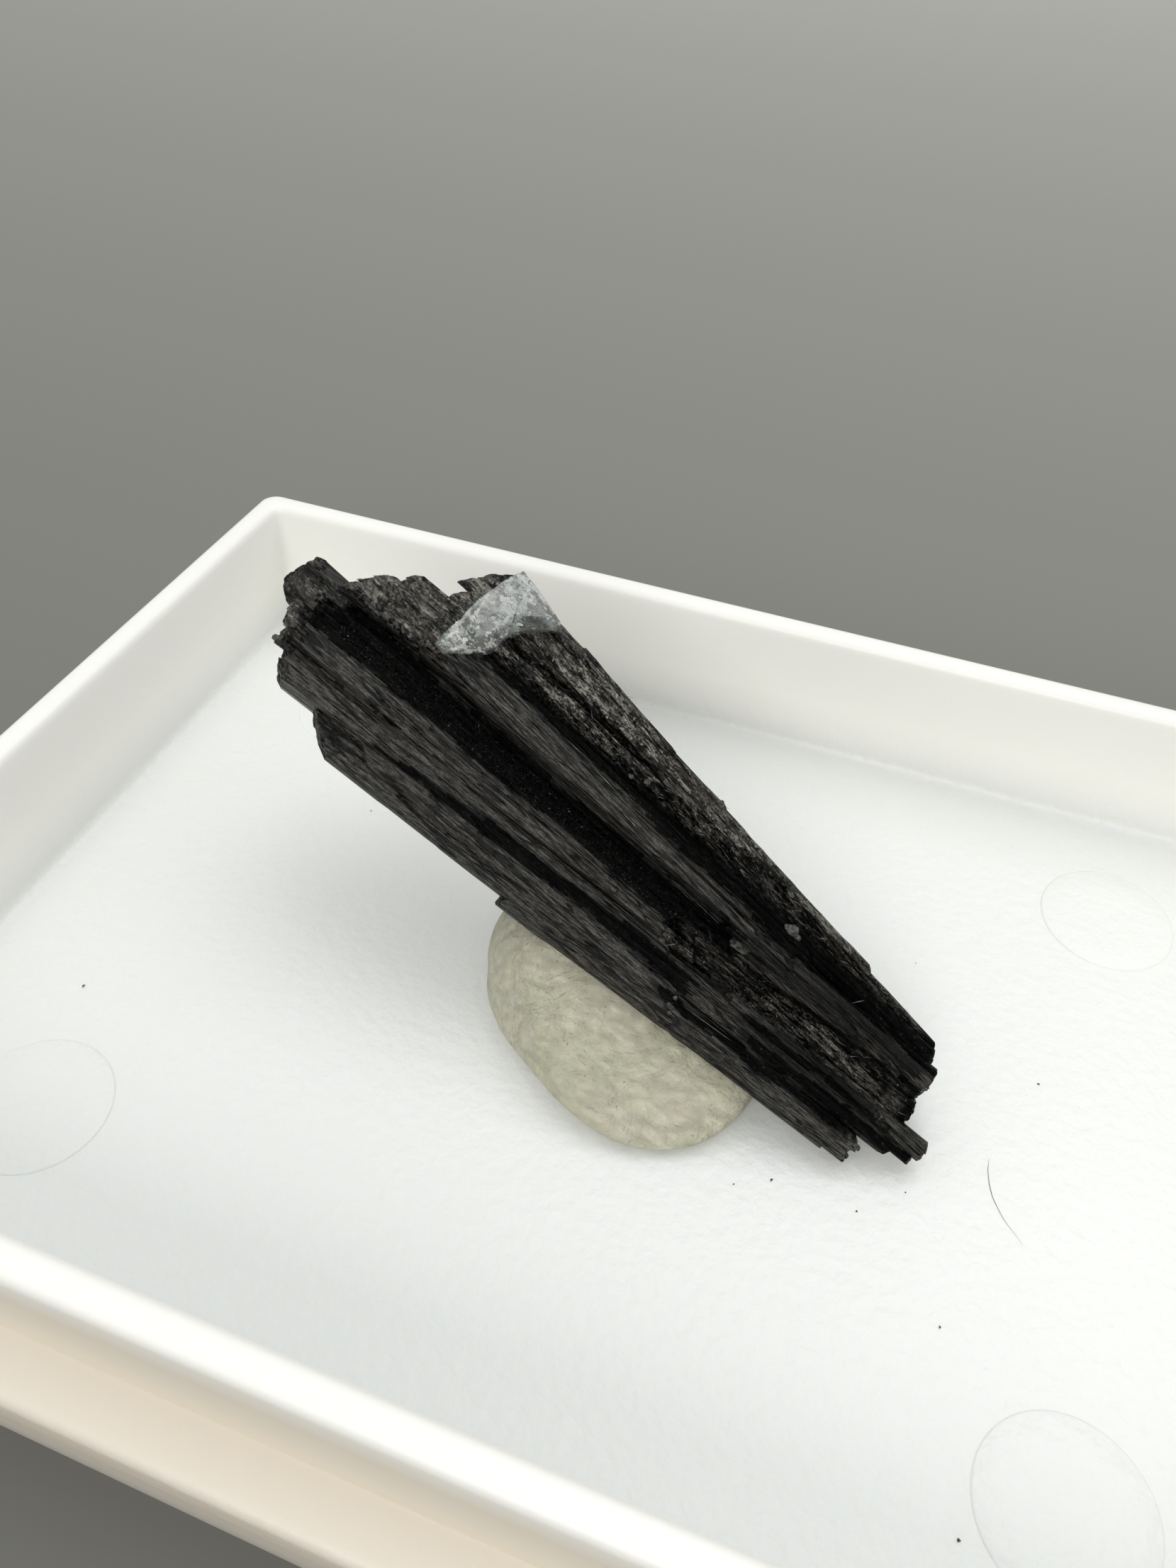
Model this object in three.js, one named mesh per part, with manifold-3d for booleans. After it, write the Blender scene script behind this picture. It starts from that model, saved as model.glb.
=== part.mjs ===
// A black tourmaline (schorl) specimen in its box: a spray of striated black
// prisms with a clear aquamarine crystal near its wide end, pressed at a slant
// into a lump of mineral tack on the floor of a white moulded tray.
// Millimetres, +Z up. The origin is the middle of the tray's flat underside,
// +X runs along the tray's long side and +Y to its back.

import * as THREE from 'three';
import { mergeVertices } from 'three/addons/utils/BufferGeometryUtils.js';
import Module from 'manifold-3d';

const wasm = await Module();
wasm.setup();

// ---------------------------------------------------------------- sizes ----

const GAP = 0.3; // air kept between two pieces that are seated on each other

// Tray: a foot, and a thinner wall that a lid would slide down over.
const FOOT_LENGTH = 51;
const FOOT_WIDTH = 38;
const FOOT_HEIGHT = 5.4;
const FOOT_CORNER = 1.4;
const TRAY_HEIGHT = 9.3;
const LEDGE = 1.65; // how far the foot stands out from the wall
const WALL = 1.1;
const FLOOR = 3.4; // height of the tray's inner floor
const WALL_CORNER = 0.7;
const INNER_CORNER = 0.4;
const RIM_BEVEL = 0.25;
const PIN_RADIUS = 2.5; // low round marks that the mould's ejector pins leave
const PIN_HEIGHT = 0.1;
const PIN_X = 16.45; // their middles, to each side of the tray's own
const PIN_Y = 10.85;

// Tack: a lump about 10 mm across, round in plan and tucked in at its foot.
const TACK_X = 1.0;
const TACK_Y = -0.05;
const TACK_RADIUS = 5.25;
const TACK_HEIGHT = 5.2;
const TACK_FLARE = 0.9; // height at which the lump is widest
const TACK_LOBES = 0.08; // share by which its three lobes stand out in plan
const TACK_FULLNESS = 0.75; // 1 would be half a ball, less is fuller
const TACK_SECTORS = 36;

// Schorl spray. Its own frame has X along the prisms towards the thin low end,
// Y across them and Z out of the side that is shown. All rods are given in it.
const SPRAY_PLACE = new THREE.Vector3(8.96, -3.51, FLOOR + 0.7);
const SPRAY_TILT = 21; // degrees: how steeply the spray leans up to its wide end
const SPRAY_HEADING = -9.5; // degrees from +X, seen from above
const SPRAY_ROLL = 32.4; // degrees that the shown side is turned up from level
const LOW_END_LEAN = 0.2; // how far end faces lean to the shown side, as a slope
const HIGH_END_LEAN = -0.35;
const RIDGE_DEPTH = 0.07; // striation, as a share of a rod's half width
const PRESS_EDGE = -0.5; // how far across the spray its pressed hollow starts
const PRESS_LEVEL = -1.1; // and how deep it is below the shown side
const CHIP_BEVEL = 0.28; // broken corners of the aquamarine
const SECTION_POINTS = 22;
const SECTION_SQUARENESS = 5; // 2 would be an ellipse

// ---------------------------------------------------------------- solids ---

const radians = THREE.MathUtils.degToRad;

/** A closed three.js geometry as a solid that can be cut and joined. */
function solid(geometry) {
  const bare = geometry.clone();
  bare.deleteAttribute('normal');
  bare.deleteAttribute('uv');
  const merged = mergeVertices(bare, 1e-5);
  return new wasm.Manifold(new wasm.Mesh({
    numProp: 3,
    vertProperties: new Float32Array(merged.attributes.position.array),
    triVerts: new Uint32Array(merged.index.array),
  }));
}

/** A solid as a three.js geometry with flat faces. */
function faceted(body) {
  const mesh = body.getMesh();
  const geometry = new THREE.BufferGeometry();
  geometry.setAttribute('position', new THREE.BufferAttribute(mesh.vertProperties, 3));
  geometry.setIndex(new THREE.BufferAttribute(mesh.triVerts, 1));
  const flat = geometry.toNonIndexed();
  flat.computeVertexNormals();
  return flat;
}

function joined(bodies) {
  return bodies.reduce((whole, body) => whole.add(body));
}

/** The outside body alone, without closed pockets left between joined rods. */
function outsideOf(body) {
  const shells = body.decompose();
  shells.sort((a, b) => b.volume() - a.volume());
  return shells[0];
}

function named(name, body, material) {
  const mesh = new THREE.Mesh(faceted(body), material);
  mesh.name = name;
  return mesh;
}

// ------------------------------------------------------------------ tray ---

function roundedRectangle(length, width, corner) {
  const x = length / 2;
  const y = width / 2;
  const shape = new THREE.Shape();
  shape.moveTo(x - corner, -y);
  shape.absarc(x - corner, -y + corner, corner, -Math.PI / 2, 0);
  shape.absarc(x - corner, y - corner, corner, 0, Math.PI / 2);
  shape.absarc(-x + corner, y - corner, corner, Math.PI / 2, Math.PI);
  shape.absarc(-x + corner, -y + corner, corner, Math.PI, 1.5 * Math.PI);
  return shape;
}

/** A rounded block from z = bottom to z = top, with its long edges bevelled. */
function block(length, width, corner, bottom, top, bevel) {
  const shape = roundedRectangle(length - 2 * bevel, width - 2 * bevel, corner - bevel);
  const geometry = new THREE.ExtrudeGeometry(shape, {
    depth: top - bottom - 2 * bevel,
    curveSegments: 4,
    bevelEnabled: bevel > 0,
    bevelSize: bevel,
    bevelThickness: bevel,
    bevelSegments: 1,
  });
  geometry.translate(0, 0, bottom + bevel);
  return solid(geometry);
}

const WALL_LENGTH = FOOT_LENGTH - 2 * LEDGE;
const WALL_WIDTH = FOOT_WIDTH - 2 * LEDGE;
const INNER_LENGTH = WALL_LENGTH - 2 * WALL;
const INNER_WIDTH = WALL_WIDTH - 2 * WALL;

function tray() {
  const foot = block(FOOT_LENGTH, FOOT_WIDTH, FOOT_CORNER, 0, FOOT_HEIGHT, RIM_BEVEL);
  const wall = block(WALL_LENGTH, WALL_WIDTH, WALL_CORNER, 1, TRAY_HEIGHT, RIM_BEVEL);
  const hollow = block(INNER_LENGTH, INNER_WIDTH, INNER_CORNER, FLOOR, TRAY_HEIGHT + 2, 0);
  const pins = [-1, 1].flatMap((sideX) => [-1, 1].map((sideY) => {
    const mark = new THREE.CylinderGeometry(PIN_RADIUS, PIN_RADIUS, 2 * PIN_HEIGHT, 24);
    mark.rotateX(Math.PI / 2);
    mark.translate(sideX * PIN_X, sideY * PIN_Y, FLOOR);
    return solid(mark);
  }));
  return foot.add(wall).subtract(hollow).add(joined(pins));
}

// ----------------------------------------------------------------- spray ---

/**
 * Each rod is one prism of the spray. Its ends are [along, across, top, half]:
 * how far it starts from the low end, where its middle lies across the spray,
 * the level of its shown face, and half its width. Then come its half depth as
 * a share of its half width, the turn of its section in degrees, and the slant
 * of its low and high ends, in millimetres of length for each across.
 */
const FRONT_RODS = [
  [[0.9, 0.06, -0.1, 0.25], [13.9, 0.04, 0.0, 0.27], 1.3, 20, 0.6, -0.2],
  [[0.0, 0.42, 0.1, 0.5], [22.2, 0.72, 0.2, 0.62], 0.8, 4, 0.1, 1.1],
  [[7.35, 0.98, 0.3, 0.42], [20.6, 1.12, 0.4, 0.4], 1.3, -8, 0.5, 0.9],
  [[-0.95, 1.22, 0.2, 0.32], [24.75, 1.9, 0.5, 0.72], 1.3, 8, -0.4, 0.55],
  [[-1.8, 1.72, 0.25, 0.34], [6.2, 2.0, 0.5, 0.3], 1.1, 12, 0.0, 0.2],
  [[-1.6, 1.32, 0.05, 0.24], [3.0, 1.5, 0.1, 0.24], 1.0, 0, 0.0, 0.3],
  [[0.1, 1.92, 0.6, 0.2], [4.4, 2.04, 0.72, 0.2], 1.2, 14, 0.1, 0.5],
];
const BROAD_FACE_RODS = [
  [[7.8, 2.3, 0.55, 0.24], [25.05, 2.74, 0.75, 0.42], 1.4, 6, 0.8, 0.2],
  [[11.0, 2.5, 0.62, 0.2], [25.2, 2.5, 0.6, 0.3], 1.2, -6, 0.4, -0.3],
  [[9.0, 2.72, 0.45, 0.26], [25.15, 3.3, 0.62, 0.44], 1.3, 2, -0.6, 0.1],
  [[8.4, 1.78, 0.42, 0.26], [19.8, 2.05, 0.55, 0.24], 1.3, 10, 0.6, -1.4],
];
const THIN_END_RODS = [
  [[-0.78, 2.52, 0.35, 0.42], [8.2, 2.55, 0.35, 0.36], 1.3, -6, 0.1, 0.4],
  [[-0.68, 3.22, 0.38, 0.4], [9.3, 3.02, 0.1, 0.4], 1.3, 5, -0.2, 0.8],
  [[-0.76, 3.78, 0.4, 0.36], [7.4, 4.1, 0.42, 0.36], 1.3, -4, 0.1, 0.3],
  [[-0.1, 3.6, 0.78, 0.17], [5.2, 4.02, 0.85, 0.18], 1.4, 16, 0.0, 0.8],
  [[2.2, 3.42, 0.66, 0.17], [7.6, 3.72, 0.7, 0.2], 1.4, 14, 0.6, -0.5],
  [[-0.36, 4.34, 0.15, 0.34], [6.5, 4.9, 0.3, 0.4], 1.3, -8, 0.2, 0.6],
];
const MIDDLE_RIDGE_RODS = [
  [[6.4, 3.9, 0.85, 0.24], [21.3, 5.24, 1.05, 0.56], 1.5, 8, 1.4, 0.6],
  [[4.6, 4.4, 0.5, 0.28], [21.5, 5.9, 0.72, 0.46], 1.4, -6, 0.6, -0.8],
  [[2.5, 4.6, 0.42, 0.26], [19.9, 6.45, 0.62, 0.4], 1.4, 10, 0.4, 0.2],
];
const GROOVE_RODS = [
  [[6.8, 2.9, 0.05, 0.42], [24.9, 3.86, 0.28, 0.46], 1.1, 34, 0.8, -0.2],
  [[14.5, 3.95, -0.5, 0.24], [25.15, 4.3, 0.15, 0.22], 1.4, 0, 1.0, 0.5],
  [[9.0, 3.6, -1.25, 0.5], [24.5, 4.75, -0.9, 0.6], 1.0, 0, 0.0, 0.0],
];
const UPPER_RODS = [
  [[4.0, 5.0, 0.25, 0.34], [19.4, 6.75, 0.35, 0.36], 1.3, 4, 0.9, 0.3],
  [[6.9, 5.66, 0.2, 0.34], [19.2, 7.75, 0.05, 0.44], 1.3, 10, -0.5, 0.2],
  [[-0.3, 4.5, -0.05, 0.3], [19.0, 8.08, -0.25, 0.5], 1.3, 14, 0.3, 0.1],
  [[2.8, 5.34, 0.05, 0.2], [12.2, 7.05, -0.1, 0.22], 1.3, 6, 0.5, 0.3],
  [[9.8, 6.62, 0.05, 0.3], [18.7, 8.35, -0.35, 0.26], 1.2, -4, -0.4, 0.2],
];
const WIDE_END_RODS = [
  [[12.0, 4.9, 0.1, 0.4], [24.45, 5.36, 0.3, 0.42], 1.5, 4, 0.5, -0.9],
  [[13.0, 5.5, 0.1, 0.4], [24.0, 6.02, 0.2, 0.44], 1.4, -8, 0.5, -1.2],
  [[14.0, 6.2, 0.0, 0.4], [23.1, 6.66, 0.0, 0.36], 1.3, 6, 0.5, -0.7],
  [[13.0, 6.7, -0.3, 0.4], [21.55, 7.35, -0.35, 0.44], 1.3, 4, 0.5, -0.8],
  [[13.0, 7.2, -0.6, 0.4], [21.1, 8.1, -0.6, 0.46], 1.3, -6, 0.5, -1.0],
  [[12.0, 7.2, -0.8, 0.4], [20.4, 8.66, -0.8, 0.34], 1.3, 4, 0.5, -1.2],
];
const HIDDEN_SIDE_RODS = [
  [[0.35, 1.5, -0.15, 0.72], [22.3, 1.95, -0.35, 1.2], 0.85, 18, 0.3, 0.4],
  [[-0.3, 2.9, -0.1, 0.82], [24.3, 3.9, -0.5, 1.35], 1.0, 12, 0.2, 0.1],
  [[0.2, 4.05, -0.3, 0.62], [22.3, 6.3, -0.3, 1.35], 1.05, -6, 0.3, -0.3],
  [[5.0, 2.6, -1.6, 0.7], [23.2, 3.2, -2.0, 1.25], 0.95, 30, 0.6, 0.3],
  [[6.0, 4.2, -1.5, 0.7], [22.4, 5.3, -2.2, 1.2], 1.0, 12, -0.6, -0.4],
  [[8.5, 5.6, -0.9, 0.6], [20.4, 7.6, -1.2, 1.0], 1.0, -10, 0.4, -0.5],
  [[3.2, 3.6, -1.7, 0.34], [15.8, 4.3, -3.6, 0.5], 1.0, 20, 0.5, 0.8],
  [[10.5, 6.3, -2.0, 0.4], [21.3, 7.0, -3.1, 0.6], 1.0, 40, 0.4, 0.6],
  [[9.0, 2.0, -2.2, 0.4], [21.4, 2.3, -3.0, 0.6], 1.0, 15, -0.5, 0.6],
];
// The rear crystal stands behind the others with an edge to the front, and its
// high tip is blunt. Nothing of it is left past the planes in which
// along + first * across + second * level comes to the third number.
const REAR_CRYSTAL = [[14.0, 3.75, -1.75, 0.8], [27.1, 4.73, -1.75, 0.89], 0.95, 40, 0.0, -0.12];
const REAR_TIP_CUTS = [[3, 0, 43.8], [-1.2, 0, 22.1], [0.2, 0.9, 26.5]];
const RODS = [
  ...FRONT_RODS, ...BROAD_FACE_RODS, ...THIN_END_RODS, ...MIDDLE_RIDGE_RODS,
  ...GROOVE_RODS, ...UPPER_RODS, ...WIDE_END_RODS, ...HIDDEN_SIDE_RODS,
];

/** A closed unit outline, nearly square with soft corners, ridged all round. */
function striatedSection(points, ridge) {
  const outline = [];
  for (let i = 0; i < points; i += 1) {
    const angle = (2 * Math.PI * (i + 0.5)) / points;
    const c = Math.abs(Math.cos(angle)) ** SECTION_SQUARENESS;
    const s = Math.abs(Math.sin(angle)) ** SECTION_SQUARENESS;
    const reach = (c + s) ** (-1 / SECTION_SQUARENESS) * (i % 2 ? 1 - ridge : 1);
    outline.push(new THREE.Vector2(reach * Math.cos(angle), reach * Math.sin(angle)));
  }
  return new THREE.Shape(outline);
}

/** One prism between its two ends, made thicker on all sides by `grow`. */
function rod([low, high, depth, turn, lowSlant, highSlant], grow) {
  const points = grow > 0 ? 8 : SECTION_POINTS;
  const shape = striatedSection(points, grow > 0 ? 0 : RIDGE_DEPTH);
  const geometry = new THREE.ExtrudeGeometry(shape, { depth: 1, bevelEnabled: false });
  const corner = geometry.attributes.position;
  const cos = Math.cos(radians(turn));
  const sin = Math.sin(radians(turn));
  for (let i = 0; i < corner.count; i += 1) {
    const t = corner.getZ(i);
    const half = THREE.MathUtils.lerp(low[3], high[3], t);
    const across = -corner.getX(i) * (half + grow); // mirrored, as the length is below
    const up = corner.getY(i) * (half * depth + grow);
    const y = across * cos + up * sin;
    const z = up * cos - across * sin;
    const slant = THREE.MathUtils.lerp(lowSlant, highSlant, t);
    const lean = THREE.MathUtils.lerp(LOW_END_LEAN, HIGH_END_LEAN, t);
    const along = THREE.MathUtils.lerp(low[0] - grow, high[0] + grow, t) + slant * y + lean * z;
    const level = THREE.MathUtils.lerp(low[2], high[2], t) - half * depth;
    corner.setXYZ(i, -along, THREE.MathUtils.lerp(low[1], high[1], t) + y, level + z);
  }
  return solid(geometry);
}

/** The hollow that the spray leaves when it is pressed in from its shown side. */
function pressedHollow() {
  const [along, across, level] = [32, 12, 10];
  const press = new THREE.BoxGeometry(along, across, level);
  press.translate(3 - along / 2, PRESS_EDGE + across / 2, PRESS_LEVEL + level / 2);
  return spray(GAP).add(solid(press));
}

function rearCrystal(grow) {
  return REAR_TIP_CUTS.reduce((left, [across, level, reach]) => {
    const inward = new THREE.Vector3(1, -across, -level); // x runs against `along`
    const size = inward.length();
    return left.trimByPlane(inward.divideScalar(size).toArray(), -reach / size - grow);
  }, rod(REAR_CRYSTAL, grow));
}

function spray(grow) {
  const rods = RODS.map((ends) => rod(ends, grow));
  return outsideOf(joined([...rods, rearCrystal(grow)]));
}

/** Moves a body from the spray's own frame to the tray's. */
function placed(body) {
  const turn = new THREE.Euler(
    radians(SPRAY_ROLL), radians(SPRAY_TILT), radians(SPRAY_HEADING), 'ZYX',
  );
  const matrix = new THREE.Matrix4().makeRotationFromEuler(turn).setPosition(SPRAY_PLACE);
  return body.transform(matrix.elements);
}

// ------------------------------------------------------------ aquamarine ---

/** A slab from an outline [along, across], between two levels, leaned over. */
function chip(outline, bottom, top, lean) {
  const shape = new THREE.Shape(outline.map(([along, across]) => (
    new THREE.Vector2(-along, across)
  )));
  const geometry = new THREE.ExtrudeGeometry(shape, {
    depth: top - bottom - 2 * CHIP_BEVEL,
    bevelEnabled: true,
    bevelSize: CHIP_BEVEL,
    bevelThickness: CHIP_BEVEL,
    bevelOffset: -CHIP_BEVEL,
    bevelSegments: 1,
  });
  geometry.translate(0, 0, bottom + CHIP_BEVEL);
  const corner = geometry.attributes.position;
  const middle = outline.reduce((sum, point) => sum + point[1], 0) / outline.length;
  for (let i = 0; i < corner.count; i += 1) {
    corner.setZ(i, corner.getZ(i) + lean * (corner.getY(i) - middle));
  }
  return solid(geometry);
}

/** A clear broken crystal that straddles the upper rods near the wide end. */
function aquamarine() {
  return joined([
    chip([[18.95, 7.1], [18.95, 6.3], [19.2, 5.95], [19.7, 5.7], [20.45, 6.0], [20.45, 6.7],
      [20.3, 7.4], [20.1, 8.1], [19.3, 8.4]], -0.6, 1.35, -0.3),
    chip([[19.5, 5.75], [20.15, 5.25], [20.6, 5.35], [20.45, 6.4], [19.6, 6.5]], 0, 1.15, 0.1),
    chip([[17.7, 8.35], [18.95, 7.15], [19.9, 7.4], [20.1, 8.3], [19.8, 8.95], [18.75, 8.65]],
      -1.2, 0.75, -0.5),
  ]);
}

// ------------------------------------------------------------------ tack ---

/** A pressed lump: round in plan, flat below, with a low uneven dome. */
function tack() {
  const profile = [new THREE.Vector2(0, 0)];
  const steps = 9;
  for (let i = 0; i <= steps; i += 1) {
    const angle = (Math.PI / 2) * (i / steps);
    const height = TACK_FLARE + (TACK_HEIGHT - TACK_FLARE) * Math.sin(angle);
    profile.push(new THREE.Vector2(TACK_RADIUS * Math.cos(angle) ** TACK_FULLNESS, height));
  }
  profile[profile.length - 1].x = 0;
  profile.splice(1, 0, new THREE.Vector2(TACK_RADIUS * 0.93, 0));
  const geometry = new THREE.LatheGeometry(profile, TACK_SECTORS);
  geometry.rotateX(Math.PI / 2);
  const corner = geometry.attributes.position;
  for (let i = 0; i < corner.count; i += 1) {
    const x = corner.getX(i);
    const y = corner.getY(i);
    const angle = Math.atan2(y, x);
    const swell = 1 - TACK_LOBES * Math.cos(3 * angle);
    corner.setXYZ(i, TACK_X + x * swell, TACK_Y + y * swell, FLOOR + corner.getZ(i));
  }
  return solid(geometry);
}

// ---------------------------------------------------------------- object ---

const schorlBody = placed(spray(0));
const pocket = placed(pressedHollow());
const aquamarineBody = placed(aquamarine().subtract(spray(GAP)));

const object = new THREE.Group();
object.add(
  named('tray', tray(), new THREE.MeshStandardMaterial({
    color: '#eeeee8', roughness: 0.42, metalness: 0,
  })),
  named('mineral_tack', outsideOf(tack().subtract(pocket)), new THREE.MeshStandardMaterial({
    color: '#cbc7b4', roughness: 0.75, metalness: 0,
  })),
  named('schorl', schorlBody, new THREE.MeshStandardMaterial({
    color: '#17171a', roughness: 0.38, metalness: 0,
  })),
  named('aquamarine', outsideOf(aquamarineBody), new THREE.MeshStandardMaterial({
    color: '#cfe2e8', roughness: 0.08, metalness: 0, transparent: true, opacity: 0.5,
  })),
);

export default object;
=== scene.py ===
"""Dresses a schorl specimen: a spray of black striated prisms with a clear
aquamarine chip, pressed into a lump of mineral tack in a white moulded tray.

Sizes are in millimetres up to the point where a mesh is made. Two frames are
used: the tray's own, with +Z up, and the spray's own, in which `along` runs
from the thin low end to the wide raised end, `across` runs over the prisms and
`level` comes out of the side that is shown."""

import math

import bmesh
import bpy
import numpy as np
from bpy.props import FloatProperty, FloatVectorProperty, IntProperty, PointerProperty
from mathutils import Euler, Matrix, Vector
from mathutils.bvhtree import BVHTree


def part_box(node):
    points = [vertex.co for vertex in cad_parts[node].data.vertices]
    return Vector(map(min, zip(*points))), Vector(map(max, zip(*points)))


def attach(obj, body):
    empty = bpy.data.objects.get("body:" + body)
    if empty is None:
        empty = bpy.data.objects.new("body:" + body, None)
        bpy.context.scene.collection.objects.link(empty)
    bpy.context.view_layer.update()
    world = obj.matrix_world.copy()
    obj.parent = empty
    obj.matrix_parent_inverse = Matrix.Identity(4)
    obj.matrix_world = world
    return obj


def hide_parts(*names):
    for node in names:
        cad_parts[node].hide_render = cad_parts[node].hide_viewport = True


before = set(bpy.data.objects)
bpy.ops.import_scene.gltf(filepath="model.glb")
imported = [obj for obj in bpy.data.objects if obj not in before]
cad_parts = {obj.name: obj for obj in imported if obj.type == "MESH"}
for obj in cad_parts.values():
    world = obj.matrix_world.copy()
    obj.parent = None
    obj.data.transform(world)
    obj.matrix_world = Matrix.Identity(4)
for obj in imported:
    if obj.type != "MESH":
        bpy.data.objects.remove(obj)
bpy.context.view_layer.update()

bl_info = {
    "name": "Schorl Specimen in a Tray",
    "version": (1, 0, 0),
    "blender": (4, 5, 0),
    "location": "View3D > Sidebar > Specimen",
    "description": "Makes a schorl spray with aquamarine on mineral tack in a tray",
    "category": "Add Mesh",
}

MM = 0.001
BODY = "root"
# Degrees past which two faces of a skin meet in a sharp edge.
EDGE_ANGLES = {"tray": 40, "spray": 14, "grains": 25, "crystal": 18, "tack": 60}

# ------------------------------------------------------------- the tray's sizes

TRAY_LOW, TRAY_HIGH = (np.array(corner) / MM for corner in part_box("tray"))
FOOT_LENGTH, FOOT_WIDTH, TRAY_HEIGHT = TRAY_HIGH - TRAY_LOW
FOOT_HEIGHT = 5.4
FLOOR = 3.4
LEDGE = 1.65
WALL = 1.1
FOOT_CORNER = 1.4
WALL_CORNER = 0.7
INNER_CORNER = 0.4
FLOOR_CORNER = 0.35
FLOOR_FILLET = 0.5
LEDGE_FILLET = 0.2
UNDERSIDE_INSET = 3.0
CORNER_POINTS = 9
SIDE_POINTS = 12
PIN_RADIUS = 2.5
PIN_PLACE = (16.45, 10.85)
PIN_SIDES = 72

# -------------------------------------------------------------- the spray's sizes

SPRAY_PLACE = np.array([8.96, -3.51, FLOOR + 0.7])
SPRAY_TILT = 21.0
SPRAY_HEADING = -9.5
SPRAY_ROLL = 32.4
LOW_END_LEAN = 0.2
HIGH_END_LEAN = -0.35
SECTION_SQUARENESS = 5.0
FAN_REACH = 22.4  # how far beyond the thin end all prisms would meet

# Each rod is [along, across, top, half width] at its low and its high end, then
# its half depth as a share of its half width, the turn of its section in
# degrees, and the slants of its low and its high end.
FRONT_RODS = [
    [[0.9, 0.06, -0.1, 0.25], [13.9, 0.04, 0.0, 0.27], 1.3, 20, 0.6, -0.2],
    [[0.0, 0.42, 0.1, 0.5], [22.2, 0.72, 0.2, 0.62], 0.8, 4, 0.1, 1.1],
    [[7.35, 0.98, 0.3, 0.42], [20.6, 1.12, 0.4, 0.4], 1.3, -8, 0.5, 0.9],
    [[-0.95, 1.22, 0.2, 0.32], [24.75, 1.9, 0.5, 0.72], 1.3, 8, -0.4, 0.55],
    [[-1.8, 1.72, 0.25, 0.34], [6.2, 2.0, 0.5, 0.3], 1.1, 12, 0.0, 0.2],
    [[-1.6, 1.32, 0.05, 0.24], [3.0, 1.5, 0.1, 0.24], 1.0, 0, 0.0, 0.3],
    [[0.1, 1.92, 0.6, 0.2], [4.4, 2.04, 0.72, 0.2], 1.2, 14, 0.1, 0.5],
]
BROAD_FACE_RODS = [
    [[7.8, 2.3, 0.55, 0.24], [25.05, 2.74, 0.75, 0.42], 1.4, 6, 0.8, 0.2],
    [[11.0, 2.5, 0.62, 0.2], [25.12, 2.52, 0.6, 0.4], 1.2, -6, 0.4, -0.1],
    [[9.0, 2.72, 0.45, 0.26], [25.45, 3.3, 0.62, 0.5], 1.3, 2, -0.6, 0.1],
    [[8.4, 1.78, 0.42, 0.26], [19.8, 2.05, 0.55, 0.24], 1.3, 10, 0.6, -1.4],
]
THIN_END_RODS = [
    [[-0.78, 2.52, 0.35, 0.42], [8.2, 2.55, 0.35, 0.36], 1.3, -6, 0.1, 0.4],
    [[-0.68, 3.22, 0.38, 0.4], [9.3, 3.02, 0.1, 0.4], 1.3, 5, -0.2, 0.8],
    [[-0.76, 3.78, 0.4, 0.36], [7.4, 4.1, 0.42, 0.36], 1.3, -4, 0.1, 0.3],
    [[-0.1, 3.6, 0.78, 0.17], [5.2, 4.02, 0.85, 0.18], 1.4, 16, 0.0, 0.8],
    [[2.2, 3.42, 0.66, 0.17], [7.6, 3.72, 0.7, 0.2], 1.4, 14, 0.6, -0.5],
    [[-0.36, 4.34, 0.15, 0.34], [6.5, 4.9, 0.3, 0.4], 1.3, -8, 0.2, 0.6],
]
MIDDLE_RIDGE_RODS = [
    [[6.4, 3.9, 0.85, 0.24], [21.3, 5.24, 1.05, 0.56], 1.5, 8, 1.4, 0.6],
    [[4.6, 4.4, 0.5, 0.28], [21.5, 5.9, 0.72, 0.46], 1.4, -6, 0.6, -0.8],
    [[2.5, 4.6, 0.42, 0.26], [19.9, 6.45, 0.62, 0.4], 1.4, 10, 0.4, 0.2],
]
GROOVE_RODS = [
    [[6.8, 2.9, 0.05, 0.42], [24.9, 3.86, 0.28, 0.46], 1.1, 34, 0.8, -0.2],
    [[14.5, 3.95, -0.5, 0.24], [25.15, 4.3, 0.15, 0.22], 1.4, 0, 1.0, 0.5],
    [[9.0, 3.6, -1.25, 0.5], [24.5, 4.75, -0.9, 0.6], 1.0, 0, 0.0, 0.0],
]
UPPER_RODS = [
    [[4.0, 5.0, 0.25, 0.34], [19.4, 6.75, 0.35, 0.36], 1.3, 4, 0.9, 0.3],
    [[6.9, 5.66, 0.2, 0.34], [19.2, 7.75, 0.05, 0.44], 1.3, 10, -0.5, 0.2],
    [[-0.3, 4.5, -0.05, 0.3], [19.0, 8.08, -0.25, 0.5], 1.3, 14, 0.3, 0.1],
    [[2.8, 5.34, 0.05, 0.2], [12.2, 7.05, -0.1, 0.22], 1.3, 6, 0.5, 0.3],
    [[9.8, 6.62, 0.05, 0.3], [18.7, 8.35, -0.35, 0.26], 1.2, -4, -0.4, 0.2],
]
WIDE_END_RODS = [
    [[12.0, 4.9, 0.1, 0.4], [24.45, 5.36, 0.3, 0.42], 1.5, 4, 0.5, -0.9],
    [[13.0, 5.5, 0.1, 0.4], [24.0, 6.02, 0.2, 0.44], 1.4, -8, 0.5, -1.2],
    [[14.0, 6.2, 0.0, 0.4], [23.1, 6.66, 0.0, 0.36], 1.3, 6, 0.5, -0.7],
    [[13.0, 6.7, -0.3, 0.4], [21.55, 7.35, -0.35, 0.44], 1.3, 4, 0.5, -0.8],
    [[13.0, 7.2, -0.6, 0.4], [21.5, 8.24, -0.6, 0.46], 1.3, -6, 0.5, -1.0],
    [[12.0, 7.2, -0.8, 0.4], [20.9, 8.84, -0.8, 0.36], 1.3, 4, 0.5, -1.2],
]
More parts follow.
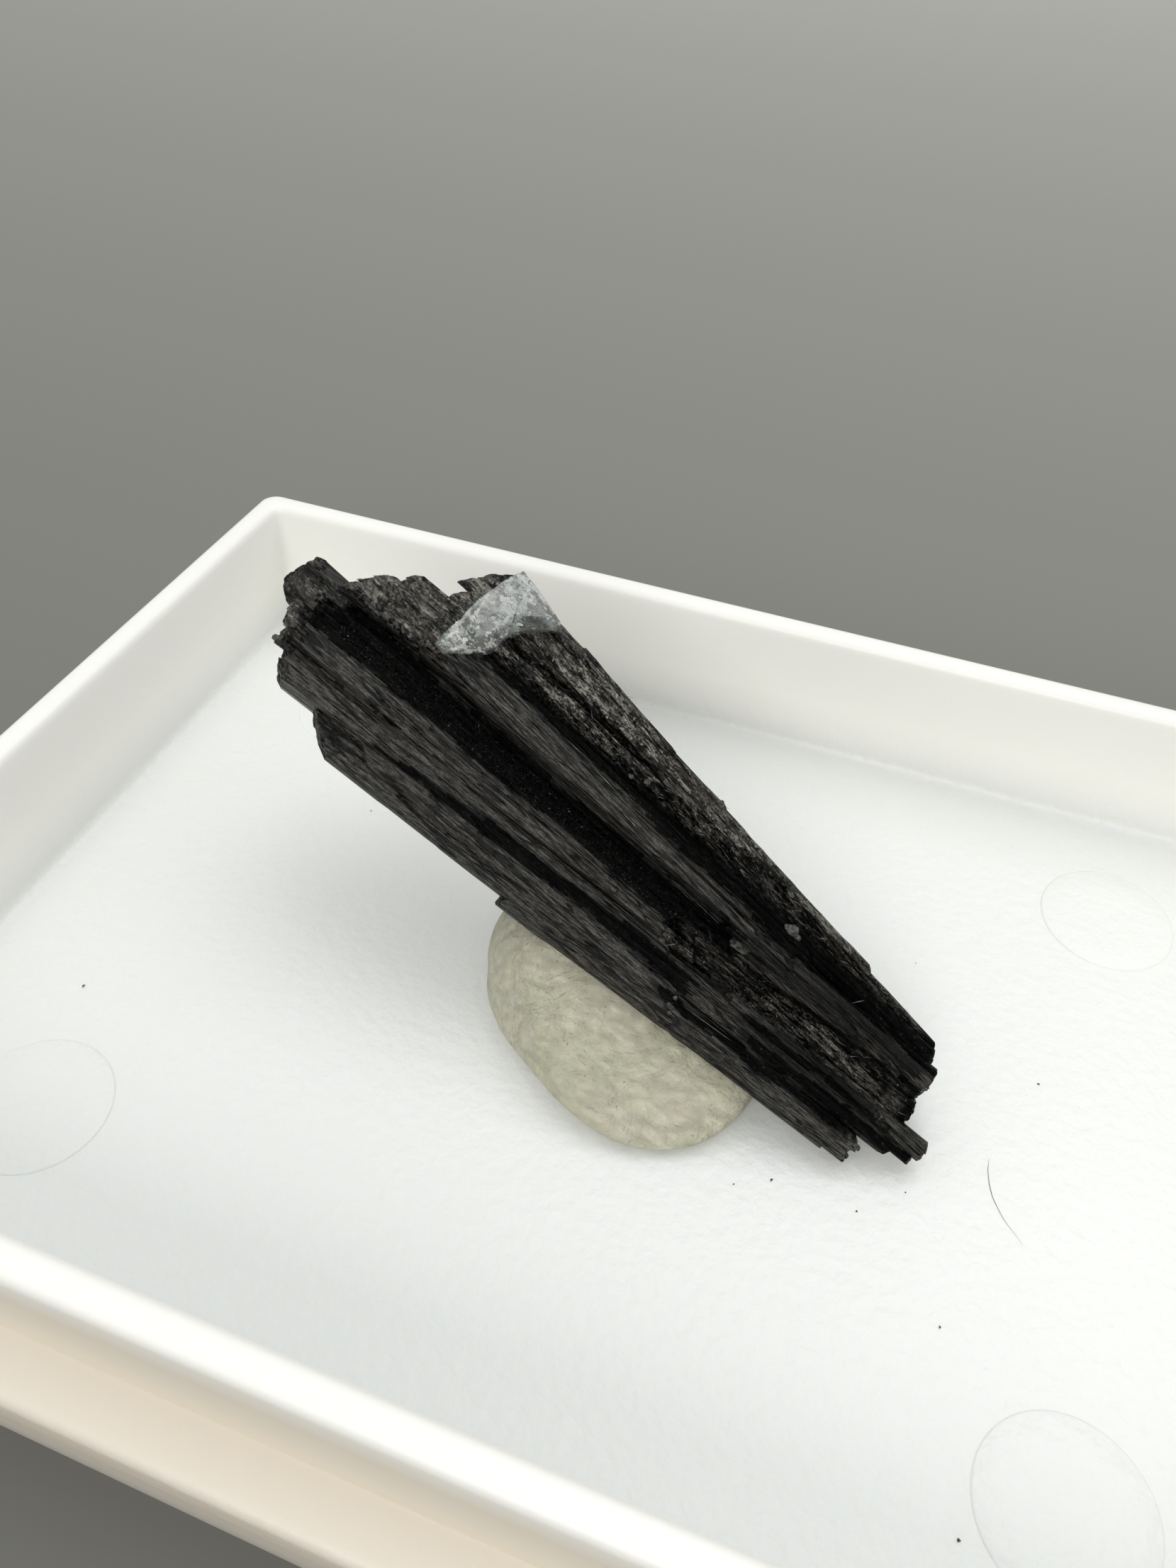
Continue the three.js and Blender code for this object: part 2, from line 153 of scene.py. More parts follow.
# The rear crystal stands with an edge to the front, and its high tip is blunt:
# nothing of it is left past the planes in which
# along + first * across + second * level comes to the third number.
REAR_CRYSTAL = [[14.0, 3.75, -1.75, 0.8], [27.1, 4.73, -1.75, 0.89], 0.95, 40, 0.0, -0.12]
REAR_TIP_CUTS = [[3, 0, 43.8], [-1.2, 0, 22.1], [0.2, 0.9, 26.5]]
HIDDEN_SIDE_RODS = [
    [[0.35, 1.5, -0.15, 0.72], [22.3, 1.95, -0.35, 1.2], 0.85, 18, 0.3, 0.4],
    [[-0.3, 2.9, -0.1, 0.82], [24.3, 3.9, -0.5, 1.35], 1.0, 12, 0.2, 0.1],
    [[0.2, 4.05, -0.3, 0.62], [22.3, 6.3, -0.3, 1.35], 1.05, -6, 0.3, -0.3],
    [[5.0, 2.6, -1.6, 0.7], [23.2, 3.2, -2.0, 1.25], 0.95, 30, 0.6, 0.3],
    [[6.0, 4.2, -1.5, 0.7], [22.4, 5.3, -2.2, 1.2], 1.0, 12, -0.6, -0.4],
    [[8.5, 5.6, -0.9, 0.6], [20.4, 7.6, -1.2, 1.0], 1.0, -10, 0.4, -0.5],
    [[3.2, 3.6, -1.7, 0.34], [15.8, 4.3, -3.6, 0.5], 1.0, 20, 0.5, 0.8],
    [[10.5, 6.3, -2.0, 0.4], [21.3, 7.0, -3.1, 0.6], 1.0, 40, 0.4, 0.6],
    [[9.0, 2.0, -2.2, 0.4], [21.4, 2.3, -3.0, 0.6], 1.0, 15, -0.5, 0.6],
]
SHOWN_RODS = (
    FRONT_RODS + BROAD_FACE_RODS + THIN_END_RODS + MIDDLE_RIDGE_RODS
    + GROOVE_RODS + UPPER_RODS + WIDE_END_RODS + [REAR_CRYSTAL]
)

# Strips of the shown side with a finish of their own: the two ends along the
# spray, then the strip's lower and its upper edge at those two ends.
SCALY_STRIPS = [
    [(0.6, 19.2), (4.75, 6.2), (5.2, 9.2)],
    [(20.3, 24.6), (5.0, 5.2), (9.4, 9.4)],
    [(-0.3, 8.8), (2.1, 2.2), (3.0, 3.0)],
    [(24.9, 26.0), (2.0, 2.0), (4.6, 4.6)],
]
RUSTY_STRIPS = [
    [(16.3, 19.8), (2.5, 2.5), (2.75, 2.8)],
    [(20.0, 22.0), (2.3, 2.35), (2.45, 2.5)],
    [(9.8, 12.0), (6.0, 6.2), (6.9, 7.1)],
    [(12.4, 18.6), (7.2, 7.4), (7.7, 8.0)],
]
GLOSSY_STRIPS = [
    [(-0.1, 4.9), (3.42, 3.95), (3.82, 4.25)],
    [(1.5, 7.0), (3.2, 3.6), (3.48, 3.95)],
    [(0.0, 4.3), (1.72, 1.88), (2.0, 2.12)],
]
PALE_STRIPS = [
    [(20.9, 24.7), (5.1, 4.95), (6.8, 6.9)],
    [(20.1, 21.7), (6.7, 6.9), (8.9, 8.9)],
    [(24.7, 26.0), (1.9, 1.9), (4.4, 4.4)],
    [(24.9, 27.2), (3.2, 3.5), (4.78, 4.9)],
    [(-0.1, 0.5), (0.45, 0.45), (0.75, 0.75)],
    [(0.4, 9.7), (4.92, 6.6), (5.12, 6.8)],
    [(-0.05, 0.2), (1.7, 1.7), (2.8, 2.8)],
    [(16.8, 19.1), (7.25, 7.45), (7.7, 8.0)],
]
DULL_STRIPS = [
    [(6.9, 13.0), (2.95, 3.72), (3.78, 4.0)],
    [(13.0, 24.5), (3.6, 4.2), (4.0, 4.98)],
    [(7.6, 13.0), (2.62, 2.9), (3.2, 3.8)],
    [(13.0, 24.8), (2.95, 3.4), (3.8, 4.25)],
    [(-1.0, 9.0), (2.08, 2.25), (3.22, 3.05)],
    [(-1.4, 5.2), (1.02, 1.05), (1.4, 1.38)],
    [(-0.2, 5.4), (1.54, 1.62), (1.74, 1.88)],
    [(-0.4, 8.2), (0.66, 0.6), (0.95, 0.92)],
    [(-0.8, 7.4), (3.85, 4.32), (4.75, 6.0)],
    [(6.6, 12.0), (4.4, 5.02), (6.1, 6.1)],
    [(11.4, 19.3), (4.98, 5.85), (6.0, 6.4)],
    [(11.8, 19.3), (6.3, 6.75), (6.7, 7.2)],
    [(15.8, 18.9), (7.8, 8.15), (7.95, 8.3)],
    [(7.2, 9.0), (1.15, 1.15), (1.72, 1.78)],
    [(8.9, 16.4), (1.3, 1.28), (1.8, 1.78)],
    [(16.2, 20.4), (1.34, 1.42), (1.68, 1.5)],
    [(20.0, 24.8), (2.28, 2.36), (2.36, 2.44)],
    [(24.6, 26.6), (4.88, 5.0), (5.36, 5.4)],
]
NEEDLE_STRIP = [(8.6, 23.6), (2.62, 3.62), (3.55, 4.25)]

# Loose grains on the shown side: [along, across, radius].
GRAINS = [
    [6.75, 3.4, 0.33], [5.8, 4.85, 0.2], [5.52, 4.72, 0.13], [0.1, 0.6, 0.12],
    [0.33, 0.54, 0.1], [7.34, 0.35, 0.08], [7.44, 0.6, 0.11], [7.5, 0.85, 0.08],
    [8.92, 2.06, 0.11], [8.97, 2.26, 0.07], [6.4, 5.85, 0.13], [3.65, 5.7, 0.12],
    [25.05, 2.3, 0.14], [25.2, 2.75, 0.12], [10.0, 6.85, 0.13], [4.2, 0.3, 0.05],
    [12.35, 5.85, 0.12], [12.9, 5.7, 0.1], [18.2, 7.75, 0.08], [17.6, 7.6, 0.06],
]
# Stray fibres that lie on it: along and across at their two ends.
STRAY_FIBRES = [
    [17.0, 4.93, 18.4, 5.0], [14.45, 5.28, 15.3, 5.38], [11.75, 4.42, 12.2, 4.5],
    [16.25, 4.8, 16.55, 4.3], [17.9, 3.95, 18.15, 4.3], [10.2, 6.05, 11.2, 6.75],
    [10.8, 6.2, 11.7, 6.4], [14.6, 7.9, 15.4, 7.2], [14.8, 7.6, 16.3, 7.72],
    [2.0, 4.55, 3.6, 4.3], [9.4, 6.35, 10.4, 6.3], [12.0, 6.9, 12.5, 7.05],
    [5.2, 0.85, 7.2, 0.8], [2.6, 4.45, 2.9, 4.1], [13.0, 5.0, 14.2, 5.2],
]

# ------------------------------------------------------------------ grid helpers


def lattice(cells, seed):
    """A number from 0 to 1 for each whole-number cell, the same in every run."""
    mixed = np.sin(cells @ np.array([127.1, 311.7, 74.7]) + 19.19 * seed) * 43758.5453
    return mixed - np.floor(mixed)


def soft_noise(points, size, seed):
    """Random numbers on a cubic lattice of that size, blended smoothly between
    its corners, from -1 to 1."""
    place = np.asarray(points, float) / size
    cell = np.floor(place)
    part = place - cell
    part = part * part * (3 - 2 * part)
    total = 0
    for corner in np.ndindex(2, 2, 2):
        weight = np.prod(np.where(corner, part, 1 - part), axis=-1)
        total = total + weight * lattice(cell + corner, seed)
    return 2 * total - 1


def eased(value):
    """0 below 0, 1 above 1, and a smooth step between."""
    value = np.clip(value, 0, 1)
    return value * value * (3 - 2 * value)


def between(low, high, share):
    """low + share of the way to high."""
    return low + (high - low) * share


def unit(rows):
    """Each row brought to a length of one."""
    return rows / np.linalg.norm(rows, axis=1)[:, None]


def ball(rows, around):
    """Directions all round, (sin down . cos turn, sin down . sin turn, cos down):
    ring by ring from the top to the bottom, and then the two poles."""
    down = np.pi * (np.arange(rows) + 0.5) / rows
    turn = 2 * np.pi * np.arange(around) / around
    sin = np.sin(down)[:, None]
    out = np.stack([sin * np.cos(turn), sin * np.sin(turn),
                    np.cos(down)[:, None] + 0 * turn], -1)
    return np.concatenate([out.reshape(-1, 3), [[0, 0, 1.0]], [[0, 0, -1.0]]])


def closed_rings(rings, around):
    """Faces for rings of points, joined in order and closed at each end by a
    pole. The two poles are numbered after all the rings."""
    ring = np.arange(rings - 1)[:, None] * around
    here = np.arange(around)
    beside = (here + 1) % around
    quads = [ring + here, ring + beside, ring + around + beside, ring + around + here]
    first, last = rings * around, rings * around + 1
    top = (rings - 1) * around
    low_fan = np.stack([np.full(around, first), beside, here], -1)
    high_fan = np.stack([np.full(around, last), top + here, top + beside], -1)
    return [np.stack(quads, -1).reshape(-1, 4), np.concatenate([low_fan, high_fan])]


def tube_skin(name, rings, place=lambda points: points):
    """A closed skin over rings of points, with a pole in the middle of its first
    and of its last ring. `place` moves all points to the tray's frame."""
    poles = [rings[0].mean(0), rings[-1].mean(0)]
    points = np.concatenate([rings.reshape(-1, 3), poles])
    return skin(name, place(points), closed_rings(*rings.shape[:2]))


def volume_of(points, faces):
    """Six times the signed volume: the sum of each triangle's corner product."""
    total = 0
    for block in faces:
        for k in range(1, block.shape[1] - 1):
            a, b, c = points[block[:, 0]], points[block[:, k]], points[block[:, k + 1]]
            total += np.einsum("ij,ij->", a, np.cross(b, c))
    return total


def skin(name, points, faces):
    """A mesh object at the origin from points in millimetres, faces outwards."""
    if volume_of(points, faces) < 0:
        faces = [block[:, ::-1] for block in faces]
    mesh = bpy.data.meshes.new(name)
    polygons = [corners for block in faces for corners in block.tolist()]
    mesh.from_pydata((points * MM).tolist(), [], polygons)
    mesh.update()
    return bpy.data.objects.new(name, mesh)


def united(name, pieces, one_body=True, operation="UNION"):
    """All pieces as one closed skin, by Blender's manifold union, or the first
    less the others."""
    cutters = bpy.data.collections.new(name + "_parts")
    scene = bpy.context.scene.collection
    scene.children.link(cutters)
    scene.objects.link(pieces[0])
    for piece in pieces[1:]:
        cutters.objects.link(piece)
    union = pieces[0].modifiers.new("Union", "BOOLEAN")
    union.operation = operation
    union.operand_type = "COLLECTION"
    union.collection = cutters
    union.solver = "MANIFOLD"
    depsgraph = bpy.context.evaluated_depsgraph_get()
    mesh = bpy.data.meshes.new_from_object(pieces[0].evaluated_get(depsgraph))
    mesh.name = name
    for piece in pieces:
        bpy.data.objects.remove(piece)
    bpy.data.collections.remove(cutters)
    return outer_shell(mesh) if one_body else mesh


def mesh_points(mesh):
    """The mesh's points as rows, in millimetres."""
    flat = np.empty(len(mesh.vertices) * 3, np.float32)
    mesh.vertices.foreach_get("co", flat)
    return flat.reshape(-1, 3).astype(float) / MM


def outer_shell(mesh):
    """Drops closed pockets left inside a union. Each point takes the lowest
    number among the points that it is joined to, until none changes."""
    edges = np.empty(len(mesh.edges) * 2, np.int32)
    mesh.edges.foreach_get("vertices", edges)
    a, b = edges.reshape(-1, 2).T
    label = np.arange(len(mesh.vertices))
    while True:
        before = label.copy()
        low = np.minimum(label[a], label[b])
        np.minimum.at(label, a, low)
        np.minimum.at(label, b, low)
        label = label[label]
        if np.array_equal(label, before):
            break
    counts = np.bincount(label)
    inner = np.flatnonzero(label != counts.argmax())
    if len(inner):
        shell = bmesh.new()
        shell.from_mesh(mesh)
        shell.verts.ensure_lookup_table()
        bmesh.ops.delete(shell, geom=[shell.verts[i] for i in inner], context="VERTS")
        shell.to_mesh(mesh)
        shell.free()
    return mesh


def smooth_but_for_edges(mesh, degrees):
    """Smooth shading, broken where two faces meet at more than that angle."""
    mesh.polygons.foreach_set("use_smooth", np.ones(len(mesh.polygons), bool))
    mesh.set_sharp_from_angle(angle=math.radians(degrees))


def shown(name, mesh, material, slot, *nodes):
    """Puts a finished mesh in the scene as a piece that rides on the object."""
    mesh.name = name
    piece = bpy.data.objects.new(name, mesh)
    bpy.context.scene.collection.objects.link(piece)
    mesh.materials.clear()
    mesh.materials.append(material)
    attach(piece, BODY)
    if nodes:
        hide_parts(*nodes)
    return piece


def point_values(mesh, name, values):
    """Keeps a number or a vector for each point, which a material can read."""
    kind, key = ("FLOAT_VECTOR", "vector") if values.ndim == 2 else ("FLOAT", "value")
    layer = mesh.attributes.new(name, kind, "POINT")
    layer.data.foreach_set(key, values.astype(np.float32).ravel())


# -------------------------------------------------------------- material helpers


class Finish:
    """A material with one Principled shader, and short calls to add nodes."""

    def __init__(self, name, **values):
        self.material = bpy.data.materials.new(name)
        self.material.use_nodes = True
        self.tree = self.material.node_tree
        self.shader = self.tree.nodes["Principled BSDF"]
        for key, value in values.items():
            self.shader.inputs[key.replace("_", " ")].default_value = value
        self.place = self.add("ShaderNodeTexCoord", {}).outputs["Object"]

    def add(self, kind, settings, *inputs):
        """A node with its settings, its inputs given in order as (name, value)."""
        made = self.tree.nodes.new(kind)
        for key, value in settings.items():
            setattr(made, key, value)
        for key, value in inputs:
            if isinstance(value, bpy.types.NodeSocket):
                self.tree.links.new(value, made.inputs[key])
            else:
                made.inputs[key].default_value = value
        return made

    def value(self, name):
        """A number that the mesh keeps for each point."""
        kept = self.add("ShaderNodeAttribute", {"attribute_name": name})
        return kept.outputs["Fac"]

    def vector(self, name):
        """A vector that the mesh keeps for each point."""
        kept = self.add("ShaderNodeAttribute", {"attribute_name": name})
        return kept.outputs["Vector"]

    def stretched(self, source, scale):
        """A place with each of its three parts scaled."""
        made = self.add("ShaderNodeMapping", {}, ("Vector", source), ("Scale", scale))
        return made.outputs["Vector"]

    def noise(self, source, scale, detail=2.0, roughness=0.5, twist=0.0):
        """Soft noise from 0 to 1."""
        made = self.add(
            "ShaderNodeTexNoise", {}, ("Vector", source), ("Scale", scale),
            ("Detail", detail), ("Roughness", roughness), ("Distortion", twist),
        )
        return made.outputs["Fac"]

    def cells(self, source, scale):
        """Voronoi cells, with their Color and Distance outputs."""
        return self.add("ShaderNodeTexVoronoi", {}, ("Vector", source), ("Scale", scale))

    def facets(self, place, scale, measure, tilt, twist=0.0):
        """The height of flat facets: each Voronoi cell leans by a random direction
        of its own, height = tilt . direction . place. `measure` turns place to
        metres, so that a tilt of 1 is a slope of up to a half."""
        grid = self.stretched(place, scale)
        if twist:
            wave = self.add("ShaderNodeTexNoise", {}, ("Vector", grid), ("Scale", 1.3),
                            ("Detail", 2.0)).outputs["Color"]
            grid = self.moved(grid, wave, twist)
        lean = self.cells(grid, 1.0).outputs["Color"]
        lean = self.add("ShaderNodeVectorMath", {"operation": "SUBTRACT"}, (0, lean),
                        (1, (0.5, 0.5, 0.5))).outputs["Vector"]
        weights = [t * measure for t in tilt]
        lean = self.add("ShaderNodeVectorMath", {"operation": "MULTIPLY"}, (0, lean),
                        (1, weights)).outputs["Vector"]
        made = self.add("ShaderNodeVectorMath", {"operation": "DOT_PRODUCT"}, (0, lean),
                        (1, place))
        return made.outputs["Value"]

    def moved(self, grid, wave, reach):
        """The grid shifted by up to `reach` of its cells, so its lines waver."""
        made = self.add("ShaderNodeVectorMath", {"operation": "MULTIPLY_ADD"}, (0, wave),
                        (1, (reach, reach, reach)), (2, grid))
        return made.outputs["Vector"]

    def ramp(self, source, low, high, start=0.0, end=1.0):
        """Maps low to start and high to end, and holds both beyond."""
        made = self.add(
            "ShaderNodeMapRange", {}, ("Value", source), ("From Min", low),
            ("From Max", high), ("To Min", start), ("To Max", end),
        )
        return made.outputs["Result"]

    def maths(self, operation, a, b=0.0):
        """One sum of two numbers or sockets."""
        made = self.add("ShaderNodeMath", {"operation": operation}, (0, a), (1, b))
        return made.outputs["Value"]

    def colours(self, share, a, b):
        """Mixes two colours by a share. Each is a socket or three numbers."""
        a, b = (c if isinstance(c, bpy.types.NodeSocket) else (*c, 1.0) for c in (a, b))
        made = self.add(
            "ShaderNodeMix", {"data_type": "RGBA"}, ("Factor", share), (6, a), (7, b)
        )
        return made.outputs[2]

    def bump(self, height, strength, distance, under=None):
        """A normal from a height, laid over another bump's normal."""
        inputs = [("Height", height), ("Strength", strength), ("Distance", distance)]
        if under is not None:
            inputs.append(("Normal", under))
        return self.add("ShaderNodeBump", {}, *inputs).outputs["Normal"]

    def link(self, source, socket):
        """Leads a node's output into the shader."""
        self.tree.links.new(source, self.shader.inputs[socket])


def two_tone(name, roughness, ior, grain, span, dark, light):
    """A finish that wanders between two colours. `grain` is the noise's scale,
    detail and roughness, and `span` is where the noise passes from dark to light."""
    finish = Finish(name, Roughness=roughness, IOR=ior)
    tone = finish.noise(finish.place, *grain)
    finish.link(finish.colours(finish.ramp(tone, *span), dark, light), "Base Color")
    return finish, tone


# ---------------------------------------------------------------------- settings

COLOUR = {"subtype": "COLOR", "size": 3, "min": 0, "max": 1}


class TraySettings(bpy.types.PropertyGroup):
    """The tray"""

    plastic: FloatVectorProperty(
        name="Plastic", description="Colour of the moulded tray",
        default=(0.80, 0.815, 0.80), **COLOUR,
    )
    # Darker, warmer colour painted on the outside of the wall and the foot: painted shade with
    # a creamy tint.
    shaded_outside: FloatVectorProperty(
        name="Outside", description="Creamy colour of the foot and the wall's outside",
        default=(0.80, 0.735, 0.64), **COLOUR,
    )
    # Paler, creamier colour painted on the walls: a painted glow for the light that passes
    # through them.
    painted_wall_glow: FloatVectorProperty(
        name="Wall Tint", description="Warmer colour that the walls take on",
        default=(0.97, 0.95, 0.89), **COLOUR,
    )
    rim_round: FloatProperty(
        name="Rim Rounding", description="Radius of the rounded edges in millimetres",
        default=0.36, min=0.05, max=0.5,
    )
    pin_height: FloatProperty(
        name="Pin Mark Height", description="How far the round marks stand up, in millimetres",
        default=0.06, min=0.0, max=0.1,
    )


class TackSettings(bpy.types.PropertyGroup):
    """The lump of tack"""

    putty: FloatVectorProperty(
        name="Putty", description="Colour of the mineral tack",
        default=(0.525, 0.515, 0.385), **COLOUR,
    )
    radius: FloatProperty(
        name="Radius", description="Mean radius of the lump in millimetres",
        default=5.25, min=3, max=7,
    )
    height: FloatProperty(
        name="Height", description="Height of the lump before it is pressed, in millimetres",
        default=5.4, min=2, max=7,
    )
    wrinkles: FloatProperty(
        name="Wrinkles", description="Height of the kneaded folds in millimetres",
        default=0.035, min=0, max=0.3,
    )


class SchorlSettings(bpy.types.PropertyGroup):
    """The spray of prisms"""

    black: FloatVectorProperty(
        name="Black", description="Body colour of the tourmaline",
        default=(0.0014, 0.0014, 0.0015), **COLOUR,
    )
    # The silvery film on weathered faces; the same colour serves as the painted sheen and the
    # painted glints on the clean faces.
    film_and_sheen: FloatVectorProperty(
        name="Film", description="Colour of the silvery film on weathered faces",
        default=(0.31, 0.297, 0.257), **COLOUR,
    )
    chalk: FloatVectorProperty(
        name="Chalk", description="Colour of the crushed mineral on broken places",
        default=(0.27, 0.265, 0.24), **COLOUR,
    )
    rust: FloatVectorProperty(
        name="Rust", description="Colour of the brown stains",
        default=(0.034, 0.021, 0.012), **COLOUR,
    )
    ridge_step: FloatProperty(
        name="Ridge Step", description="Width of the finest modelled ridge in millimetres",
        default=0.085, min=0.05, max=0.4,
    )
    ridge_height: FloatProperty(
        name="Ridge Height", description="Height of the striation in millimetres",
        default=0.026, min=0, max=0.1,
    )
    splinters: IntProperty(
        name="Splinters", description="Number of thin rods that lie on the faces",
        default=170, min=0, max=600,
    )
    needles: IntProperty(
        name="Needles", description="Number of fine needles in the groove",
        default=3200, min=0, max=9000,
    )


class AquamarineSettings(bpy.types.PropertyGroup):
    """The clear crystal"""

    tint: FloatVectorProperty(
        name="Tint", description="Colour that the clear crystal lets through",
        default=(0.78, 0.95, 0.96), **COLOUR,
    )
    depth: FloatProperty(
        name="Depth of Tint", description="How strongly a metre of the crystal absorbs",
        default=150.0, min=0, max=2000,
    )
    veils: IntProperty(
        name="Veils", description="Number of milky crumbs tried inside each lobe",
        default=2800, min=0, max=6000,
    )


class StageSettings(bpy.types.PropertyGroup):
    """The floor, the lights and the camera"""

    # The floor's colour far off; towards the front it is painted darker, as painted shade.
    floor: FloatVectorProperty(
        name="Floor", description="Colour of the plain floor",
        default=(0.53, 0.53, 0.485), **COLOUR,
    )
    key_power: FloatProperty(
        name="Key Light", description="Power of the soft light above and behind",
        default=0.5, min=0, max=50, unit="POWER",
    )
    fill_power: FloatProperty(
        name="Fill Light", description="Power of the soft light from the front",
        default=0.68, min=0, max=50, unit="POWER",
    )
    air_light: FloatProperty(
        name="Air Light", description="Strength of the soft light from all round",
        default=0.9, min=0, max=5,
    )
    focal_length: FloatProperty(
        name="Lens", description="Focal length of the camera in millimetres",
        default=27.03, min=10, max=200, unit="CAMERA",
    )


# --------------------------------------------------------------------- the tray


def rounded_outline(inset):
    """One ring of the tray: a rectangle that is `inset` inside the foot's
    outline, with quarter circles at its corners and points along its sides."""
    inner = LEDGE + WALL
    corner = np.interp(inset, [0, LEDGE, inner, inner + FLOOR_FILLET],
                       [FOOT_CORNER, WALL_CORNER, INNER_CORNER, FLOOR_CORNER])
    half = np.array([FOOT_LENGTH, FOOT_WIDTH]) / 2 - inset - corner
    turn = np.linspace(0, np.pi / 2, CORNER_POINTS)
    arc = corner * np.stack([np.cos(turn), np.sin(turn)], -1)
    points = []
    for quarter, (sign_x, sign_y) in enumerate([(1, 1), (-1, 1), (-1, -1), (1, -1)]):
        angle = quarter * np.pi / 2
        spin = np.array([[np.cos(angle), -np.sin(angle)], [np.sin(angle), np.cos(angle)]])
        points.append(arc @ spin.T + half * (sign_x, sign_y))
    share = np.linspace(0, 1, SIDE_POINTS + 2)[1:-1, None]
    ring = []
    for corner, following in zip(points, points[1:] + points[:1]):
        ring += [corner, between(corner[-1], following[0], share)]
    return np.concatenate(ring)


def quarter_round(inset, height, radius, start, steps=4):
    """Points of a quarter circle in the tray's profile round that middle."""
    turn = np.radians(start) + np.linspace(0, np.pi / 2, steps + 1)
    return [(inset + radius * math.cos(a), height + radius * math.sin(a)) for a in turn]


def tray_profile(radius):
    """The tray's section from the underside, up the outside, over the rim and
    down to the inner floor, as (inset from the foot's outline, height)."""
    rim = LEDGE + WALL
    profile = [(UNDERSIDE_INSET, 0.0)]
    profile += quarter_round(radius, radius, -radius, 90)[::-1]
    profile += [(radius - x, z) for x, z in
                quarter_round(0, FOOT_HEIGHT - radius, radius, 0)]
    profile += [(LEDGE - LEDGE_FILLET, FOOT_HEIGHT),
                (LEDGE - 0.3 * LEDGE_FILLET, FOOT_HEIGHT + 0.25 * LEDGE_FILLET),
                (LEDGE, FOOT_HEIGHT + LEDGE_FILLET)]
    profile += [(LEDGE + radius - x, z) for x, z in
                quarter_round(0, TRAY_HEIGHT - radius, radius, 0)]
    profile += [(rim - radius - x, z) for x, z in
                quarter_round(0, TRAY_HEIGHT - radius, radius, 90)]
    profile += [(rim + FLOOR_FILLET + x, z) for x, z in
                quarter_round(0, FLOOR + FLOOR_FILLET, FLOOR_FILLET, 180)]
    return profile


def tray_skin(settings):
    """The profile carried round the rounded rectangle, closed at the middle of
    the underside and of the inner floor."""
    rings = []
    for inset, z in tray_profile(settings.rim_round):
        outline = rounded_outline(inset)
        rings.append(np.column_stack([outline, np.full(len(outline), z)]))
    floor_ring = rings[-1]
    rings += [floor_ring * (share, share, 1) for share in (0.86, 0.6, 0.3)]
    return tube_skin("tray_shell", np.stack(rings))


def pin_marks(height):
    """Four low discs with rounded edges, sunk a little into the floor: a short
    profile of (radius, height) turned round each disc's middle."""
    profile = np.array([
        [0.6, -0.3], [1.0, -0.3], [1.0, 0.3], [0.99, 0.75], [0.97, 1.0], [0.6, 1.0],
    ]) * (PIN_RADIUS, height)
    turn = np.linspace(0, 2 * np.pi, PIN_SIDES, endpoint=False)
    disc = np.stack([
        np.column_stack([r * np.cos(turn), r * np.sin(turn), np.full(PIN_SIDES, z)])
        for r, z in profile
    ])
    return [
        tube_skin("pin_mark", disc + (sign_x * PIN_PLACE[0], sign_y * PIN_PLACE[1], FLOOR))
        for sign_x, sign_y in ((1, 1), (1, -1), (-1, 1), (-1, -1))
    ]


def tray_plastic(settings):
    """White satin plastic: cool on the floor with a fine orange peel. The walls
    let light through, and they are painted paler and a little creamy: a painted
    glow for that light. Outside the wall and on the foot, below the rim, it is
    painted darker and warmer: painted shade."""
    finish = Finish(
        "tray_plastic", Roughness=0.38, IOR=1.5, Subsurface_Weight=0.3,
        Subsurface_Radius=(1.0, 0.85, 0.65), Subsurface_Scale=0.004,
    )
    height = finish.add("ShaderNodeSeparateXYZ", {}, (0, finish.place)).outputs["Z"]
    wall = finish.ramp(height, (FLOOR + 0.1) * MM, (FLOOR + 2.5) * MM)
    foot = finish.ramp(height, (FLOOR - 0.1) * MM, (FLOOR - 1.0) * MM)
    # The walls take a paler, creamier colour: a painted glow for the light that passes through
    # them.
    wall_glow_share = finish.maths("MAXIMUM", wall, foot)
    cloud = finish.ramp(finish.noise(finish.place, 90, 3.0), 0.3, 0.7, 0.8, 1.0)
    base = finish.colours(finish.maths("MULTIPLY", wall_glow_share, cloud), settings.plastic,
                          settings.painted_wall_glow)
    place = finish.add("ShaderNodeSeparateXYZ", {}, (0, finish.place)).outputs
    across = finish.maths("SUBTRACT", finish.maths("ABSOLUTE", place["Y"], 0),
                          (FOOT_WIDTH / 2 - LEDGE - 0.1) * MM)
    along = finish.maths("SUBTRACT", finish.maths("ABSOLUTE", place["X"], 0),
                         (FOOT_LENGTH / 2 - LEDGE - 0.1) * MM)
    # Outside the wall and below the rim the plastic is painted darker and warmer: painted
    # shade.
    outer = finish.ramp(finish.maths("MAXIMUM", across, along), -0.25 * MM, 0.1 * MM)
    below = finish.ramp(height, (TRAY_HEIGHT - 1.4) * MM, (TRAY_HEIGHT - 0.2) * MM, 1.0, 0.0)
    base = finish.colours(finish.maths("MULTIPLY", outer, below), base,
                          settings.shaded_outside)
    finish.link(base, "Base Color")
    peel = finish.noise(finish.place, 2300, 2.0, 0.55)
    level = finish.ramp(wall_glow_share, 0.0, 1.0, 1.0, 0.15)
    finish.link(finish.bump(finish.maths("MULTIPLY", peel, level), 0.8, 0.00008), "Normal")
    return finish.material


class SPECIMEN_OT_tray(bpy.types.Operator):
    """Moulds the tray with its foot, wall, rounded rim and pin marks"""

    bl_idname = "specimen.tray"
    bl_label = "Mould the Tray"

    def execute(self, context):
        settings = context.scene.specimen_tray
        pieces = [tray_skin(settings), *pin_marks(settings.pin_height)]
        mesh = united("tray", pieces)
        smooth_but_for_edges(mesh, EDGE_ANGLES["tray"])
        shown("moulded_tray", mesh, tray_plastic(settings), "tray_plastic", "tray")
        return {"FINISHED"}


# -------------------------------------------------------------------- the spray

